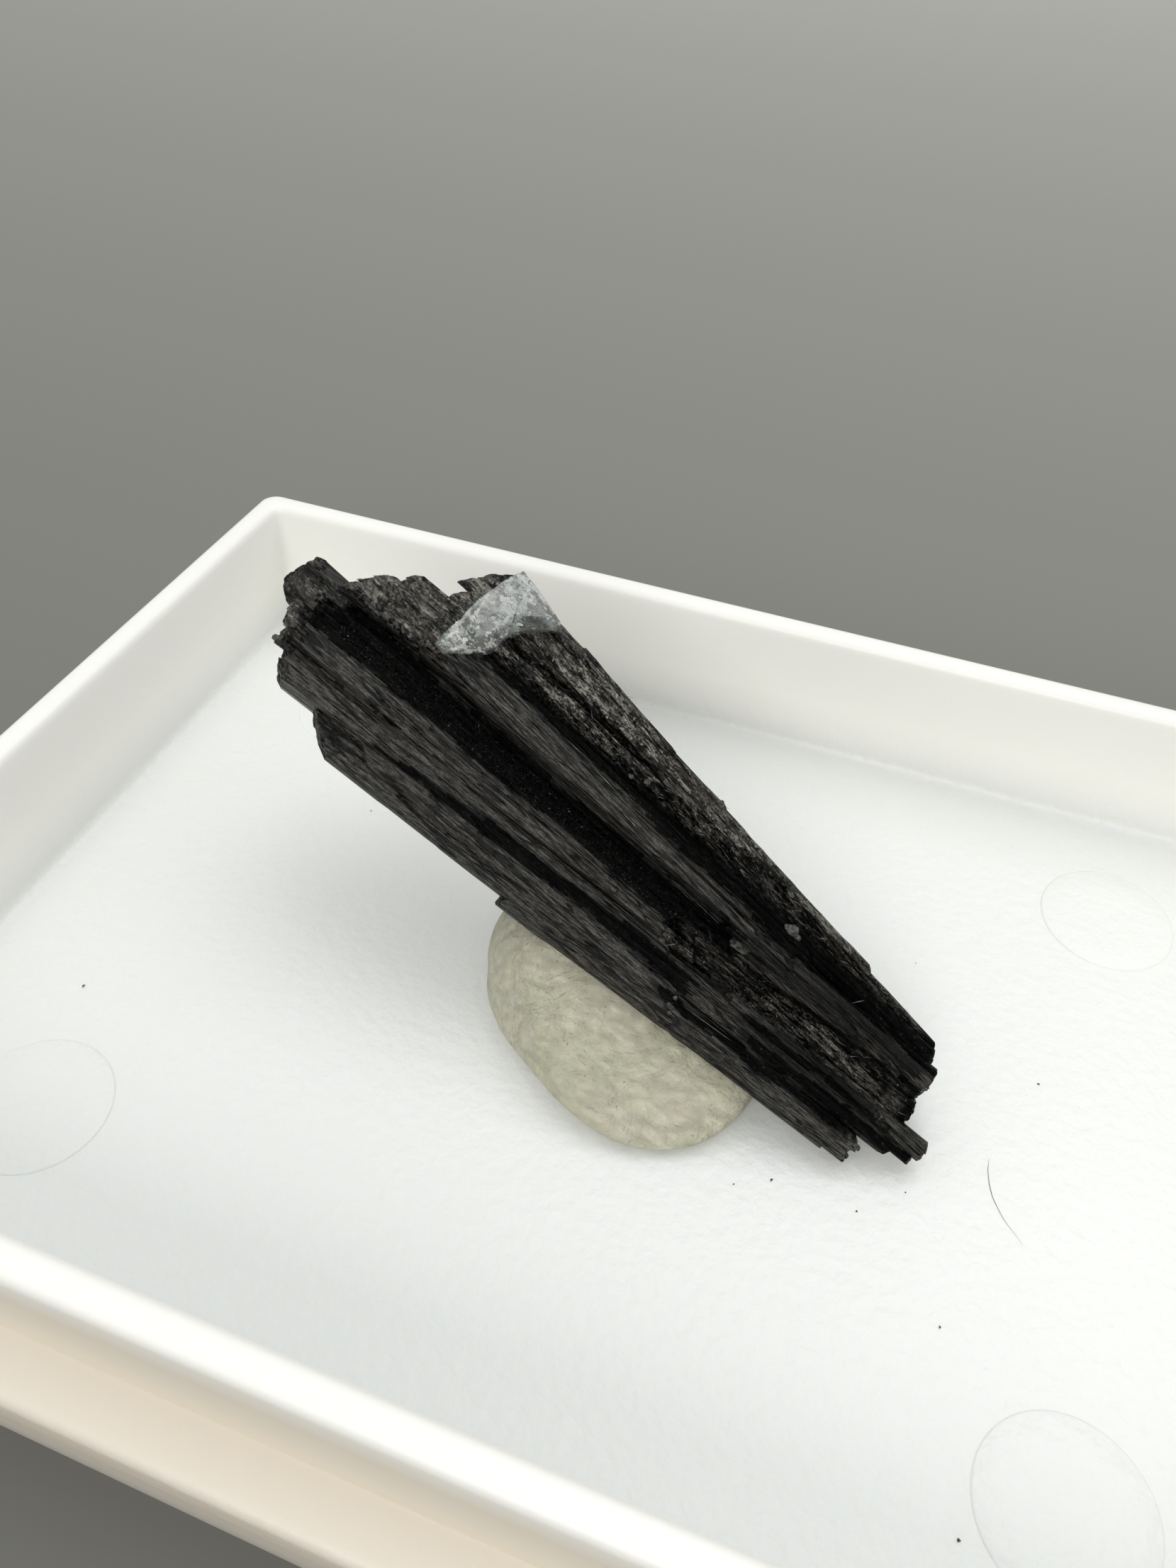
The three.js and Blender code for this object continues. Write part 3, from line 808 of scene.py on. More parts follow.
END_CAP = (0.12, 0.27, 0.42, 0.57, 0.71, 0.84, 0.95)  # how the rings of an end face grow
ROD_SEED, SPLINTER_SEED, THIN_ROD_SEED = 900, 31, 5000
RIDGES = ((0.8, 7), (0.9, 3.1), (1.2, 1.5))  # (height share, width in ring points)
SPLINTER_LENGTHS = (1.2, 2.2, 3.5, 6.0)
SPLINTER_RADII = (0.03, 0.085)
THIN_ROD_SIDES = 7
SHOWN_SHARE = 0.68  # of the thin rods lie on the shown side
SEAT_START = 9.0  # the level, well outside the skin, that a search line starts from
MOST_BEND = 0.09  # of the skin between a thin rod's ends, in millimetres
LEAST_FACING = 0.35  # of the skin there towards that side, as a cosine

SPRAY_TURN = np.array(Euler(
    [math.radians(a) for a in (SPRAY_ROLL, SPRAY_TILT, SPRAY_HEADING)], "XYZ"
).to_matrix())


def to_tray(spray_points):
    """(along, across, level) of the spray to the tray's x, y, z."""
    mirrored = np.asarray(spray_points, float) * (-1, 1, 1)
    return mirrored @ SPRAY_TURN.T + SPRAY_PLACE


def to_spray(tray_points):
    """The tray's x, y, z to (along, across, level) of the spray."""
    return ((np.asarray(tray_points, float) - SPRAY_PLACE) @ SPRAY_TURN) * (-1, 1, 1)


def ring_noise(random, count, width):
    """Random heights round a ring, one for each `width` points, joined by
    straight lines, from -1 to 1."""
    knots = max(3, round(count / width))
    heights = random.uniform(-1, 1, knots)
    place = np.arange(count) * knots / count
    return np.interp(place, np.arange(knots + 1), np.append(heights, heights[0]))


def angles_from(middle, angle):
    """How far each angle is from the middle one, the short way round."""
    return np.abs((angle - middle + np.pi) % (2 * np.pi) - np.pi)


def rod_relief(random, angle, share, length, half, height):
    """How far a rod's skin lies below its plain section. Round the rod it is a
    sum of fine and broad ridges, which change to other ridges along the rod.
    Strands then stand out or lie back between two cut ends, and thin tapered
    cracks are sunk in."""
    around = len(angle)
    before, after = (
        height * sum(tall * ring_noise(random, around, wide) for tall, wide in RIDGES)
        for _ in range(2)
    )
    change = eased((share - 0.5 + 0.45 * ring_noise(random, around, 5)) * 9 + 0.5)
    relief = between(before, after, change)
    for _ in range(int(4 + length * 0.7)):
        apart = angles_from(random.uniform(0, 2 * np.pi), angle)
        wide = random.uniform(0.05, 0.16) / half
        middle = random.uniform(0, 1)
        reach = random.uniform(0.6, 5.0) / length
        inside = (apart < wide) & (np.abs(share - middle) < reach)
        relief = relief + inside * random.uniform(-1.0, 1.6) * height
    for _ in range(int(3 + length * 0.5)):
        apart = angles_from(random.uniform(0, 2 * np.pi), angle)
        wide = random.uniform(0.035, 0.07) / half
        middle = random.uniform(0, 1)
        reach = random.uniform(0.5, 3.5) / length
        taper = np.clip(1 - np.abs(share - middle) / reach, 0, 1)
        crack = np.clip(1 - apart / wide, 0, 1) * np.sqrt(taper)
        relief = relief + crack * random.uniform(3, 7) * height
    return relief


def broken_end(y, z, grain, seed):
    """A stepped fracture: whole cells of the section stand at levels of their
    own, in a coarse and a fine size."""
    coarse = np.stack([y / grain, z / grain, 0 * y], -1)
    fine = coarse * 2.3
    steps = 0.5 * lattice(np.floor(coarse), seed) + 0.3 * lattice(np.floor(fine), seed + 1)
    return steps + 0.1 + 0.1 * soft_noise(coarse, 0.35, seed)


def rod_skin(rod, number, step, height):
    """One prism. Its section is a soft-cornered square, whose reach at an angle
    is (|cos|^p + |sin|^p)^(-1/p), less the relief. Straight lines join the
    sections of its two ends, and its ends are stepped and slanted."""
    low, high, depth = rod[:3]
    random = np.random.default_rng(ROD_SEED + number)
    length = high[0] - low[0]
    mean_half = (low[3] + high[3]) / 2
    around = max(14, round(4 * mean_half * (1 + depth) / step))
    steps = max(8, round(length / (3.6 * step)))
    angle = 2 * np.pi * (np.arange(around) + 0.5) / around
    cos, sin = np.cos(angle), np.sin(angle)
    power = SECTION_SQUARENESS
    reach = (np.abs(cos) ** power + np.abs(sin) ** power) ** (-1 / power)
    cap = np.array(END_CAP)
    share = np.concatenate([0 * cap, np.linspace(0, 1, steps + 1), 1 + 0 * cap])[:, None]
    grow = np.concatenate([cap, np.ones(steps + 1), cap[::-1]])[:, None]
    wander = 1 / (steps * 2.2)
    inner_rows = (grow == 1) & (share > 0) & (share < 1)
    share = share + inner_rows * wander * random.uniform(-1, 1, share.shape)
    half = between(low[3], high[3], share)
    relief = rod_relief(random, angle, share, length, mean_half, height) + 0.02
    relief = np.minimum(relief, 0.45 * half)
    across = -(reach * half - relief) * cos * grow
    up = (reach * half * depth - relief) * sin * grow
    return placed_rod(rod, number, share, across, up)


def placed_rod(rod, number, share, across, up):
    """Turns each section, slants and breaks the two ends, and closes them."""
    low, high, depth, turn, low_slant, high_slant = rod
    swing = math.radians(turn)
    y = across * math.cos(swing) + up * math.sin(swing)
    z = up * math.cos(swing) - across * math.sin(swing)
    half = between(low[3], high[3], share)
    grain = 0.2 + 0.18 * (low[3] + high[3])
    rough = min(0.42, 0.7 * (low[3] + high[3]) / 2)
    worn = 0.22 * (y ** 2 + (z / depth) ** 2) / half
    first = low[0] + rough * (broken_end(y, z, grain, number) - 0.5) + worn
    last = high[0] - rough * (broken_end(y, z, grain, number + 50) - 0.5) - worn
    slant = between(low_slant, high_slant, share)
    lean = between(LOW_END_LEAN, HIGH_END_LEAN, share)
    along = between(first, last, share) + slant * y + lean * z
    across = between(low[1], high[1], share) + y
    level = between(low[2], high[2], share) - half * depth + z
    if rod is REAR_CRYSTAL:
        for by_across, by_level, reach in REAR_TIP_CUTS:
            cut = reach - by_across * across - by_level * level
            along = np.minimum(along, cut + 0.05 * soft_noise(
                np.stack([across, level, 0 * across], -1), 0.12, 7))
    return tube_skin("rod", np.stack([along, across, level], -1), to_tray)


def spray_tree(mesh):
    """A search tree over the skin, in the spray's frame."""
    points = to_spray(mesh_points(mesh))
    mesh.calc_loop_triangles()
    corners = np.empty(len(mesh.loop_triangles) * 3, np.int32)
    mesh.loop_triangles.foreach_get("vertices", corners)
    turned = corners.reshape(-1, 3)[:, ::-1]  # the spray's frame is a mirrored one
    return BVHTree.FromPolygons(points.tolist(), turned.tolist())


def seat(tree, along, across, side):
    """Where a line straight into the shown side (1) or the hidden side (-1)
    meets the skin: the place and the outward direction there, or None."""
    start = (along, across, SEAT_START * side)
    place, normal, _, _ = tree.ray_cast(start, (0, 0, -side))
    if place is None:
        return None
    return np.array(place), np.array(normal)


def splinter_skin(start, end, radius, turn, number):
    """A thin rod between two places: rings of a few points each round the line
    between them, radius . (cos, sin), blunt and stepped at its ends."""
    random = np.random.default_rng(THIN_ROD_SEED + number)
    rows = max(4, int((end[0] - start[0]) / 0.5))
    share = np.concatenate([[0, 0], np.linspace(0, 1, rows), [1, 1]])[:, None]
    grow = np.concatenate([[0.45, 0.8], np.ones(rows), [0.8, 0.45]])[:, None]
    angle = np.linspace(0, 2 * np.pi, THIN_ROD_SIDES, endpoint=False) + turn
    ragged = 1 + 0.16 * random.uniform(-1, 1, (len(share), THIN_ROD_SIDES))
    thick = radius * (1 + 0.3 * np.sin(3 * share + number)) * grow * ragged
    ends = random.uniform(0, 0.22, (2, THIN_ROD_SIDES))
    centre = between(start, end, share)
    along = centre[:, :1] + between(ends[0], -ends[1], share)
    across = centre[:, 1:2] + 1.25 * thick * np.cos(angle)
    level = centre[:, 2:] + 0.8 * thick * np.sin(angle)
    return tube_skin("splinter", np.stack([along, across, level], -1), to_tray)


def splinters(mesh, count):
    """Thin rods laid along the fan of prisms where the skin is near straight:
    where the middle is seated close to the line between the two ends."""
    tree = spray_tree(mesh)
    random = np.random.default_rng(SPLINTER_SEED)
    made = []
    for number in range(count * 4):
        if len(made) == count:
            break
        side = 1 if random.random() < SHOWN_SHARE else -1
        fan = random.uniform(-0.1, 5.1)
        start = random.uniform(-1, 22)
        length = random.choice(SPLINTER_LENGTHS) * random.uniform(0.7, 1.3)
        radius = random.uniform(*SPLINTER_RADII)
        turn = random.uniform(0, 1)
        seats = [seat(tree, u, fan * (1 + u / FAN_REACH), side)
                 for u in (start, start + length / 2, start + length)]
        if any(s is None for s in seats):
            continue
        first, middle, last = (s[0] for s in seats)
        if abs(middle[2] - (first[2] + last[2]) / 2) > MOST_BEND:
            continue
        if min(s[1][2] * side for s in seats) < LEAST_FACING:
            continue
        sunk = np.array([0, 0, -0.45 * radius * side])
        made.append(splinter_skin(first + sunk, last + sunk, radius, turn, number))
    return made


def strip_share(along, across, strip, soft=0.22):
    """1 inside a strip between two lines, falling to 0 over `soft`."""
    (start, end), (low_start, low_end), (high_start, high_end) = strip
    share = np.clip((along - start) / (end - start), 0, 1)
    low = between(low_start, low_end, share)
    high = between(high_start, high_end, share)
    inside = np.minimum(across - low, high - across)
    inside = np.minimum(inside, np.minimum(along - start, end - along))
    return eased(inside / soft + 0.5)


def zone(points, strips, soft=0.22):
    """The strongest of several strips, kept to the shown side of the spray."""
    along, across, level = points.T
    shares = [strip_share(along, across, strip, soft) for strip in strips]
    return np.max(shares, axis=0) * eased((level + 1.6) / 0.8)


def mark_zones(mesh):
    """Keeps, for the material, where each point lies in the spray and how much
    it is scaly, rusty or glossy."""
    points = to_spray(mesh_points(mesh))
    along, across, level = points.T
    fan = across / (1 + along / FAN_REACH)
    patches = 0.5 + 0.5 * soft_noise(points, (1.6, 0.55, 0.8), 3)
    scaly = zone(points, SCALY_STRIPS, 0.4)
    hidden = eased((-1.4 - level) / 0.8) * eased(patches * 2 - 0.9)
    point_values(mesh, "lie", np.stack([along, fan, level], -1))
    point_values(mesh, "scaly", np.maximum(scaly * (0.15 + 0.95 * patches ** 2), 0.5 * hidden))
    point_values(mesh, "rusty", zone(points, RUSTY_STRIPS))
    point_values(mesh, "glossy", zone(points, GLOSSY_STRIPS, 0.1))
    pale = [strip_share(along, across, strip, 0.5) for strip in PALE_STRIPS]
    point_values(mesh, "pale", np.max(pale, axis=0) * (0.3 + 0.7 * patches))
    return points


def dull_faces(mesh, points):
    """Gives the second finish to the faces that lie in a dull strip. Its edge
    wavers with soft noise."""
    wander = 0.09 * np.stack(
        [soft_noise(points, (1.1, 0.3, 0.3), seed) for seed in (21, 22, 23)], -1)
    moved = points + wander * (4, 1, 1)
    share = zone(moved, DULL_STRIPS, 0.04)
    point_values(mesh, "dull", zone(moved, DULL_STRIPS, 0.36))
    corners = np.empty(len(mesh.loops), np.int32)
    mesh.loops.foreach_get("vertex_index", corners)
    starts = np.empty(len(mesh.polygons), np.int32)
    mesh.polygons.foreach_get("loop_start", starts)
    dull = share[corners[starts]] > 0.5
    mesh.polygons.foreach_set("material_index", dull.astype(np.int32))


def schorl_finish(name, settings, shine, painted_sheen_peak, film_share, flake_tilt):
    """Black tourmaline. Laths and finer lines run along the prisms: Voronoi
    cells and noise that are drawn out along the spray. Flakes lean every way on
    scaly places, which carry a silvery film, and stains are brown. On the clean
    faces a painted sheen in streaks and sparse painted glints, in the film's
    colour, stand in for the light that they reflect; thin veins cut dark lines
    through them."""
    finish = Finish(name, IOR=1.63, Specular_IOR_Level=shine)
    lie = finish.vector("lie")
    scaly, rusty = finish.value("scaly"), finish.value("rusty")
    glossy, pale = finish.value("glossy"), finish.value("pale")
    fine = finish.noise(finish.stretched(lie, (0.35, 15, 13)), 1.0, 3.0, 0.62)
    flecks = finish.noise(finish.stretched(lie, (1.6, 9, 8)), 1.0, 4.0, 0.7, 0.6)
    crumbs = finish.noise(finish.stretched(lie, (5, 7, 7)), 1.0, 5.0, 0.7)
    share = finish.ramp(scaly, 0.0, 1.0, film_share[0], film_share[1])
    grit = finish.noise(finish.stretched(lie, (11, 26, 26)), 1.0, 2.0, 0.6)
    specks = finish.maths("ADD", flecks, finish.maths("MULTIPLY", grit, 0.6))
    film_and_sheen = finish.maths("POWER", finish.ramp(specks, 0.64, 1.04), 2.4)
    film_and_sheen = finish.maths("MULTIPLY", film_and_sheen, share)
    # Painted sheen: streaks of the film's colour on the clean faces, standing in for the light
    # that they reflect.
    streaks = finish.noise(finish.stretched(lie, (1.5, 24, 22)), 1.0, 4.0, 0.75)
    painted_sheen = finish.ramp(streaks, 0.43, 0.585, 0.0, painted_sheen_peak)
    painted_sheen = finish.maths("MULTIPLY", painted_sheen, finish.ramp(scaly, 0.0, 0.8, 1.0, 0.5))
    painted_sheen = finish.maths("MULTIPLY", painted_sheen, finish.ramp(grit, 0.3, 0.62, 0.45, 1.3))
    clean = finish.ramp(finish.value("dull"), 0.0, 0.7, 1.0, 0.0)
    painted_sheen = finish.maths("MULTIPLY", painted_sheen, clean)
    film_and_sheen = finish.maths("MAXIMUM", film_and_sheen, painted_sheen)
    film_and_sheen = finish.maths("MULTIPLY", film_and_sheen, finish.ramp(glossy, 0, 1, 1, 0.1))
    veins = finish.noise(finish.stretched(lie, (0.17, 3.4, 3.2)), 1.0, 2.0, 0.6, 0.3)
    veins = finish.maths("ABSOLUTE", finish.maths("SUBTRACT", veins, 0.5))
    open_vein = finish.ramp(veins, 0.009, 0.026, 0.0, 1.0)
    film_and_sheen = finish.maths("MULTIPLY", film_and_sheen, open_vein)
    # Sparse bright specks: painted glints.
    film_and_sheen = finish.maths("MAXIMUM", film_and_sheen, finish.ramp(grit, 0.66, 0.76, 0.0, 0.3))
    chalk = finish.maths("MULTIPLY", pale, finish.ramp(crumbs, 0.47, 0.62, 0.12, 1.0))
    stain = finish.maths("MULTIPLY", rusty, finish.ramp(crumbs, 0.5, 0.62, 0.0, 0.8))
    black = finish.colours(film_and_sheen, settings.black, settings.film_and_sheen)
    black = finish.colours(chalk, black, settings.chalk)
    finish.link(finish.colours(stain, black, settings.rust), "Base Color")
    broad = finish.noise(finish.stretched(lie, (0.3, 2.6, 2.4)), 1.0, 2.0)
    rough = finish.ramp(broad, 0.35, 0.65, 0.2, 0.42)
    rough = finish.maths("SUBTRACT", rough, finish.ramp(glossy, 0, 1, 0, 0.12))
    finish.link(rough, "Roughness")
    laths = finish.facets(lie, (0.2, 4.2, 4.0), MM, (0.03, 0.75, 0.75), 0.25)
    slats = finish.facets(lie, (0.45, 9.5, 9.0), MM, (0.05, 0.7, 0.7), 0.3)
    flakes = finish.facets(lie, (7.5, 15, 15), MM, flake_tilt, 0.5)
    lines = finish.bump(laths, 0.8, 1.0)
    lines = finish.bump(slats, 0.8, 1.0, lines)
    lines = finish.bump(fine, 0.9, 0.00015, lines)
    lines = finish.bump(open_vein, 0.9, 0.00006, lines)
    worn = finish.maths("MAXIMUM", scaly, pale)
    lines = finish.bump(finish.maths("MULTIPLY", flakes, worn), 1.0, 1.0, lines)
    pitted = finish.maths("MULTIPLY", crumbs, finish.ramp(worn, 0, 1, 0.1, 1.0))
    finish.link(finish.bump(pitted, 0.8, 0.0001, lines), "Normal")
    return finish.material


def schorl_black(settings):
    """The clean striated faces: a painted sheen between black lines."""
    return schorl_finish("schorl_black", settings, 0.12, 0.26, (0.06, 6.5), (1.1, 1.7, 1.7))


def schorl_dull(settings):
    """The pitted faces and the groove: they reflect little but their flecks."""
    return schorl_finish("schorl_dull", settings, 0.02, 0.0, (0.03, 1.5), (1.2, 1.6, 1.6))


class SPECIMEN_OT_schorl(bpy.types.Operator):
    """Grows the spray of striated black prisms and joins them into one body"""

    bl_idname = "specimen.schorl"
    bl_label = "Grow the Schorl"

    def execute(self, context):
        settings = context.scene.specimen_schorl
        step, height = settings.ridge_step, settings.ridge_height
        rods = [rod_skin(rod, n, step, height) for n, rod in enumerate(SHOWN_RODS)]
        rods += [rod_skin(rod, 100 + n, 2.1 * step, 1.8 * height)
                 for n, rod in enumerate(HIDDEN_SIDE_RODS)]
        body = united("schorl", rods)
        parts = [bpy.data.objects.new("body", body), *splinters(body, settings.splinters)]
        body = united("schorl", parts)
        smooth_but_for_edges(body, EDGE_ANGLES["spray"])
        points = mark_zones(body)
        shown("schorl_spray", body, schorl_black(settings), "schorl", "schorl")
        body.materials.append(schorl_dull(settings))
        dull_faces(body, points)
        return {"FINISHED"}


# --------------------------------------------------------------- needles, grains

NEEDLE_SEED = 77
NEEDLE_SPREAD = 0.75
NEEDLE_LENGTHS = (0.05, 0.22)
NEEDLE_RADII = (0.006, 0.014)
CRUMB_COUNT = 420
CRUMB_SIZES = (0.01, 0.034)
FIBRE_COUNT = 300
FIBRE_LENGTHS = (0.1, 0.5)
FIBRE_RADII = (0.004, 0.009)
FIBRE_LIFT = 0.012
LUMP_ROWS, LUMP_SIDES = 18, 28
STRAY_LIFT = 0.02
STRAY_RADIUS = 0.011


def needle_shapes(places, directions, lengths, radii):
    """Each needle is a long four-sided spindle: a foot, a ring of four points
    at a third of its length, and a tip."""
    helper = np.where(np.abs(directions[:, 2:]) < 0.8, [0, 0, 1.0], [1.0, 0, 0])
    side = unit(np.cross(directions, helper))
    other = np.cross(directions, side)
    foot = places - directions * radii[:, None]
    tip = places + directions * lengths[:, None]
    waist = places + directions * lengths[:, None] * 0.35
    ring = [waist + radii[:, None] * (side * c + other * s)
            for c, s in ((1, 0), (0, 1), (-1, 0), (0, -1))]
    points = np.stack([foot, *ring, tip], 1)
    corners = np.array([[0, 2, 1], [0, 3, 2], [0, 4, 3], [0, 1, 4],
                        [5, 1, 2], [5, 2, 3], [5, 3, 4], [5, 4, 1]])
    faces = corners[None] + 6 * np.arange(len(places))[:, None, None]
    return points.reshape(-1, 3), faces.reshape(-1, 3)


def grain_shapes(places, sizes, random):
    """Each grain is a crumb of eight faces with its six corners moved."""
    corners = np.array([[1, 0, 0], [-1, 0, 0], [0, 1, 0], [0, -1, 0], [0, 0, 1], [0, 0, -1.0]])
    moved = corners[None] * random.uniform(0.5, 1.1, (len(places), 6, 1))
    moved = moved + random.uniform(-0.3, 0.3, (len(places), 6, 3))
    points = places[:, None] + moved * sizes[:, None]
    triangles = np.array([[0, 2, 4], [2, 1, 4], [1, 3, 4], [3, 0, 4],
                          [2, 0, 5], [1, 2, 5], [3, 1, 5], [0, 3, 5]])
    faces = triangles[None] + 6 * np.arange(len(places))[:, None, None]
    return points.reshape(-1, 3), faces.reshape(-1, 3)


def lump_skin(place, radius, number):
    """A rounded grain: a ball whose radius rises and falls with soft noise."""
    out = ball(LUMP_ROWS, LUMP_SIDES)
    dents = 0.45 * soft_noise(out, 0.7, number) + 0.2 * soft_noise(out, 0.25, number)
    reach = radius * (1 + dents)
    points = out * reach[:, None] * (1, 0.8, 0.4) + place
    return skin("lump", to_tray(points), closed_rings(LUMP_ROWS, LUMP_SIDES))


def grains_and_fibres(tree):
    """The loose grains and the stray fibres as two meshes, seated on the skin."""
    lumps = []
    for number, (along, across, radius) in enumerate(GRAINS):
        here = seat(tree, along, across, 1)
        if here is not None:
            lumps.append(lump_skin(here[0] + here[1] * 0.2 * radius, radius, number))
    ends = [(seat(tree, u0, w0, 1), seat(tree, u1, w1, 1)) for u0, w0, u1, w1 in STRAY_FIBRES]
    pairs = [(a[0], b[0]) for a, b in ends if a is not None and b is not None]
    start = np.array([a for a, _ in pairs]) + (0, 0, STRAY_LIFT)
    way = np.array([b for _, b in pairs]) + (0, 0, STRAY_LIFT) - start
    lengths = np.linalg.norm(way, axis=1)
    radii = np.full(len(lengths), STRAY_RADIUS)
    points, faces = needle_shapes(start, unit(way), lengths, radii)
    return united("grains", lumps, False), skin("fibres", to_tray(points), [faces]).data


def seats_in(tree, random, strips, count):
    """Random seats on the shown side within strips, picked by their area."""
    areas = np.array([
        (end - start) * ((hs + he) - (ls + le)) / 2
        for (start, end), (ls, le), (hs, he) in strips
    ])
    picks = random.choice(len(strips), count, p=areas / areas.sum())
    shares = random.random((count, 2))
    found = []
    for pick, (s, r) in zip(picks, shares):
        (start, end), (ls, le), (hs, he) = strips[pick]
        along = between(start, end, s)
        across = between(between(ls, le, s), between(hs, he, s), r)
        here = seat(tree, along, across, 1)
        if here is not None:
            found.append(here)
    places = np.array([place for place, _ in found])
    normals = np.array([normal for _, normal in found])
    return places, normals


def groove_needles(tree, random, count):
    """Needles that stand on the groove's skin: each one's direction is the
    skin's own plus a random vector."""
    places, normals = seats_in(tree, random, [NEEDLE_STRIP], count)
    directions = unit(normals + random.normal(0, NEEDLE_SPREAD, places.shape))
    lengths = random.uniform(*NEEDLE_LENGTHS, len(places))
    radii = random.uniform(*NEEDLE_RADII, len(places))
    points, faces = needle_shapes(places, directions, lengths, radii)
    return skin("needles", to_tray(points), [faces]).data


def scaly_crumbs(tree, random):
    """Crumbs with their middles on the skin."""
    places, _ = seats_in(tree, random, SCALY_STRIPS + [NEEDLE_STRIP], CRUMB_COUNT)
    sizes = random.uniform(*CRUMB_SIZES, (len(places), 1))
    sizes = sizes * random.uniform(0.6, 1.4, (len(places), 3))
    points, faces = grain_shapes(places, sizes, random)
    return skin("crumbs", to_tray(points), [faces]).data


def silvery_fibres(tree, random):
    """Needles that lie along the spray: each one's direction is a random one,
    less most of its part along the skin's own direction."""
    places, normals = seats_in(tree, random, SCALY_STRIPS[::2], FIBRE_COUNT)
    directions = np.column_stack([
        random.choice([-1, 1], len(places)), random.normal(0, 0.45, len(places)),
        random.normal(0, 0.12, len(places)),
    ])
    directions -= 0.9 * normals * np.sum(directions * normals, axis=1)[:, None]
    directions = unit(directions)
    lengths = random.uniform(*FIBRE_LENGTHS, len(places))
    radii = random.uniform(*FIBRE_RADII, len(places))
    places = places + FIBRE_LIFT * normals
    points, faces = needle_shapes(places, directions, lengths, radii)
    return skin("fibres", to_tray(points), [faces]).data


def needle_gloss():
    """Glossy black needles, a few of them grey."""
    return two_tone("needle_gloss", 0.3, 1.63, (9000, 1.0), (0.5, 0.75),
                    (0.003, 0.003, 0.003), (0.045, 0.045, 0.042))[0].material


def pale_crumbs():
    """Crushed mineral, dark and pale grey."""
    return two_tone("pale_crumbs", 0.5, 1.54, (4000, 2.0), (0.3, 0.7),
                    (0.05, 0.05, 0.048), (0.26, 0.26, 0.25))[0].material


def grey_grain():
    """Gritty grey grains."""
    finish, grit = two_tone("grey_grain", 0.6, 1.54, (6500, 4.0, 0.7), (0.42, 0.66),
                            (0.006, 0.006, 0.005), (0.11, 0.107, 0.097))
    finish.link(finish.bump(grit, 0.9, 0.0001), "Normal")
    return finish.material


def pale_fibre():
    """Pale, slightly yellow fibres."""
    return two_tone("pale_fibre", 0.35, 1.54, (3000, 1.0), (0.4, 0.6),
                    (0.14, 0.135, 0.11), (0.36, 0.345, 0.3))[0].material


class SPECIMEN_OT_needles(bpy.types.Operator):
    """Scatters fine needles in the groove and pale crumbs on the scaly places"""

    bl_idname = "specimen.needles"
    bl_label = "Scatter Needles and Crumbs"

    def execute(self, context):
        count = context.scene.specimen_schorl.needles
        tree = spray_tree(bpy.data.objects["schorl_spray"].data)
        random = np.random.default_rng(NEEDLE_SEED)
        shown("groove_needles", groove_needles(tree, random, count), needle_gloss(), "schorl")
        shown("scaly_crumbs", scaly_crumbs(tree, random), pale_crumbs(), "schorl")
        shown("silvery_fibres", silvery_fibres(tree, random), pale_crumbs(), "schorl")
        grains, strays = grains_and_fibres(tree)
        smooth_but_for_edges(grains, EDGE_ANGLES["grains"])
        shown("loose_grains", grains, grey_grain(), "schorl")
        shown("stray_fibres", strays, pale_fibre(), "schorl")
        return {"FINISHED"}


# --------------------------------------------------------------- the aquamarine

# Each lobe is an outline of [along, across] that turns one way round, the levels
# of its lower and its upper face, and how the upper face leans across.
AQUAMARINE_LOBES = [
    [[[18.92, 7.0], [18.93, 6.35], [19.12, 5.98], [19.6, 5.72], [20.4, 5.95], [20.46, 6.7],
      [20.35, 7.4], [20.12, 8.45], [19.35, 8.3]], -0.6, 1.3, -0.3],
    [[[19.45, 5.75], [20.2, 4.97], [20.75, 5.07], [20.5, 6.4], [19.6, 6.5]], 0.0, 1.15, 0.1],
    [[[17.7, 8.4], [18.95, 7.15], [19.9, 7.4], [20.2, 8.4], [19.97, 9.2], [18.75, 8.75]],
     -1.2, 0.75, -0.5],
]
LOBE_ROWS, LOBE_SIDES = 90, 120
LOBE_BEVEL = 0.16
SCALLOP_DEPTH = 0.05
VEIL_DEPTH = 0.14  # how far below the faces the milky veils keep
VEIL_CLOUD = 0.62  # size of the clouds that the veils lie in
VEIL_SEED = 64
EDGE_REACH = 0.07  # how far from an edge the crystal is painted milky white: a painted highlight along its edges
# White crumbs just under the edges: painted glints.
EDGE_GLINTS = 1500
GLINT_DEPTH = 0.085
CLEAR_TONE, MILKY_TONE = (0.72, 0.8, 0.78), (1.0, 1.0, 0.98)


def lobe_faces(outline, bottom, top, lean):
    """The middle of a lobe, and each flat face's outward direction and distance
    from it: one along every side, one bevel above it, and the two ends. The
    bevels' slopes and widths differ from side to side."""
    corners = np.array(outline)
    middle = np.append(corners.mean(axis=0), (bottom + top) / 2)
    side = np.roll(corners, -1, axis=0) - corners
    out = unit(np.stack([side[:, 1], -side[:, 0]], -1))
    away = np.einsum("ij,ij->i", out, corners - middle[:2])
    out, away = out * np.sign(away)[:, None], np.abs(away)
    sides = np.column_stack([out, 0 * away])
    half = (top - bottom) / 2
    slope = np.linspace(0.7, 1.3, len(away))
    bevels = np.column_stack([out, slope])
    bevel_far = away + slope * half - LOBE_BEVEL * (1 + np.abs(np.sin(7 * away)))
    ends = np.array([[0, -lean, 1.0], [0, 0, -1.0]])
    faces = np.concatenate([sides, bevels, ends])
    far = np.concatenate([away, bevel_far, [half, half]])
    size = np.linalg.norm(faces, axis=1)
    return middle, faces / size[:, None], far / size


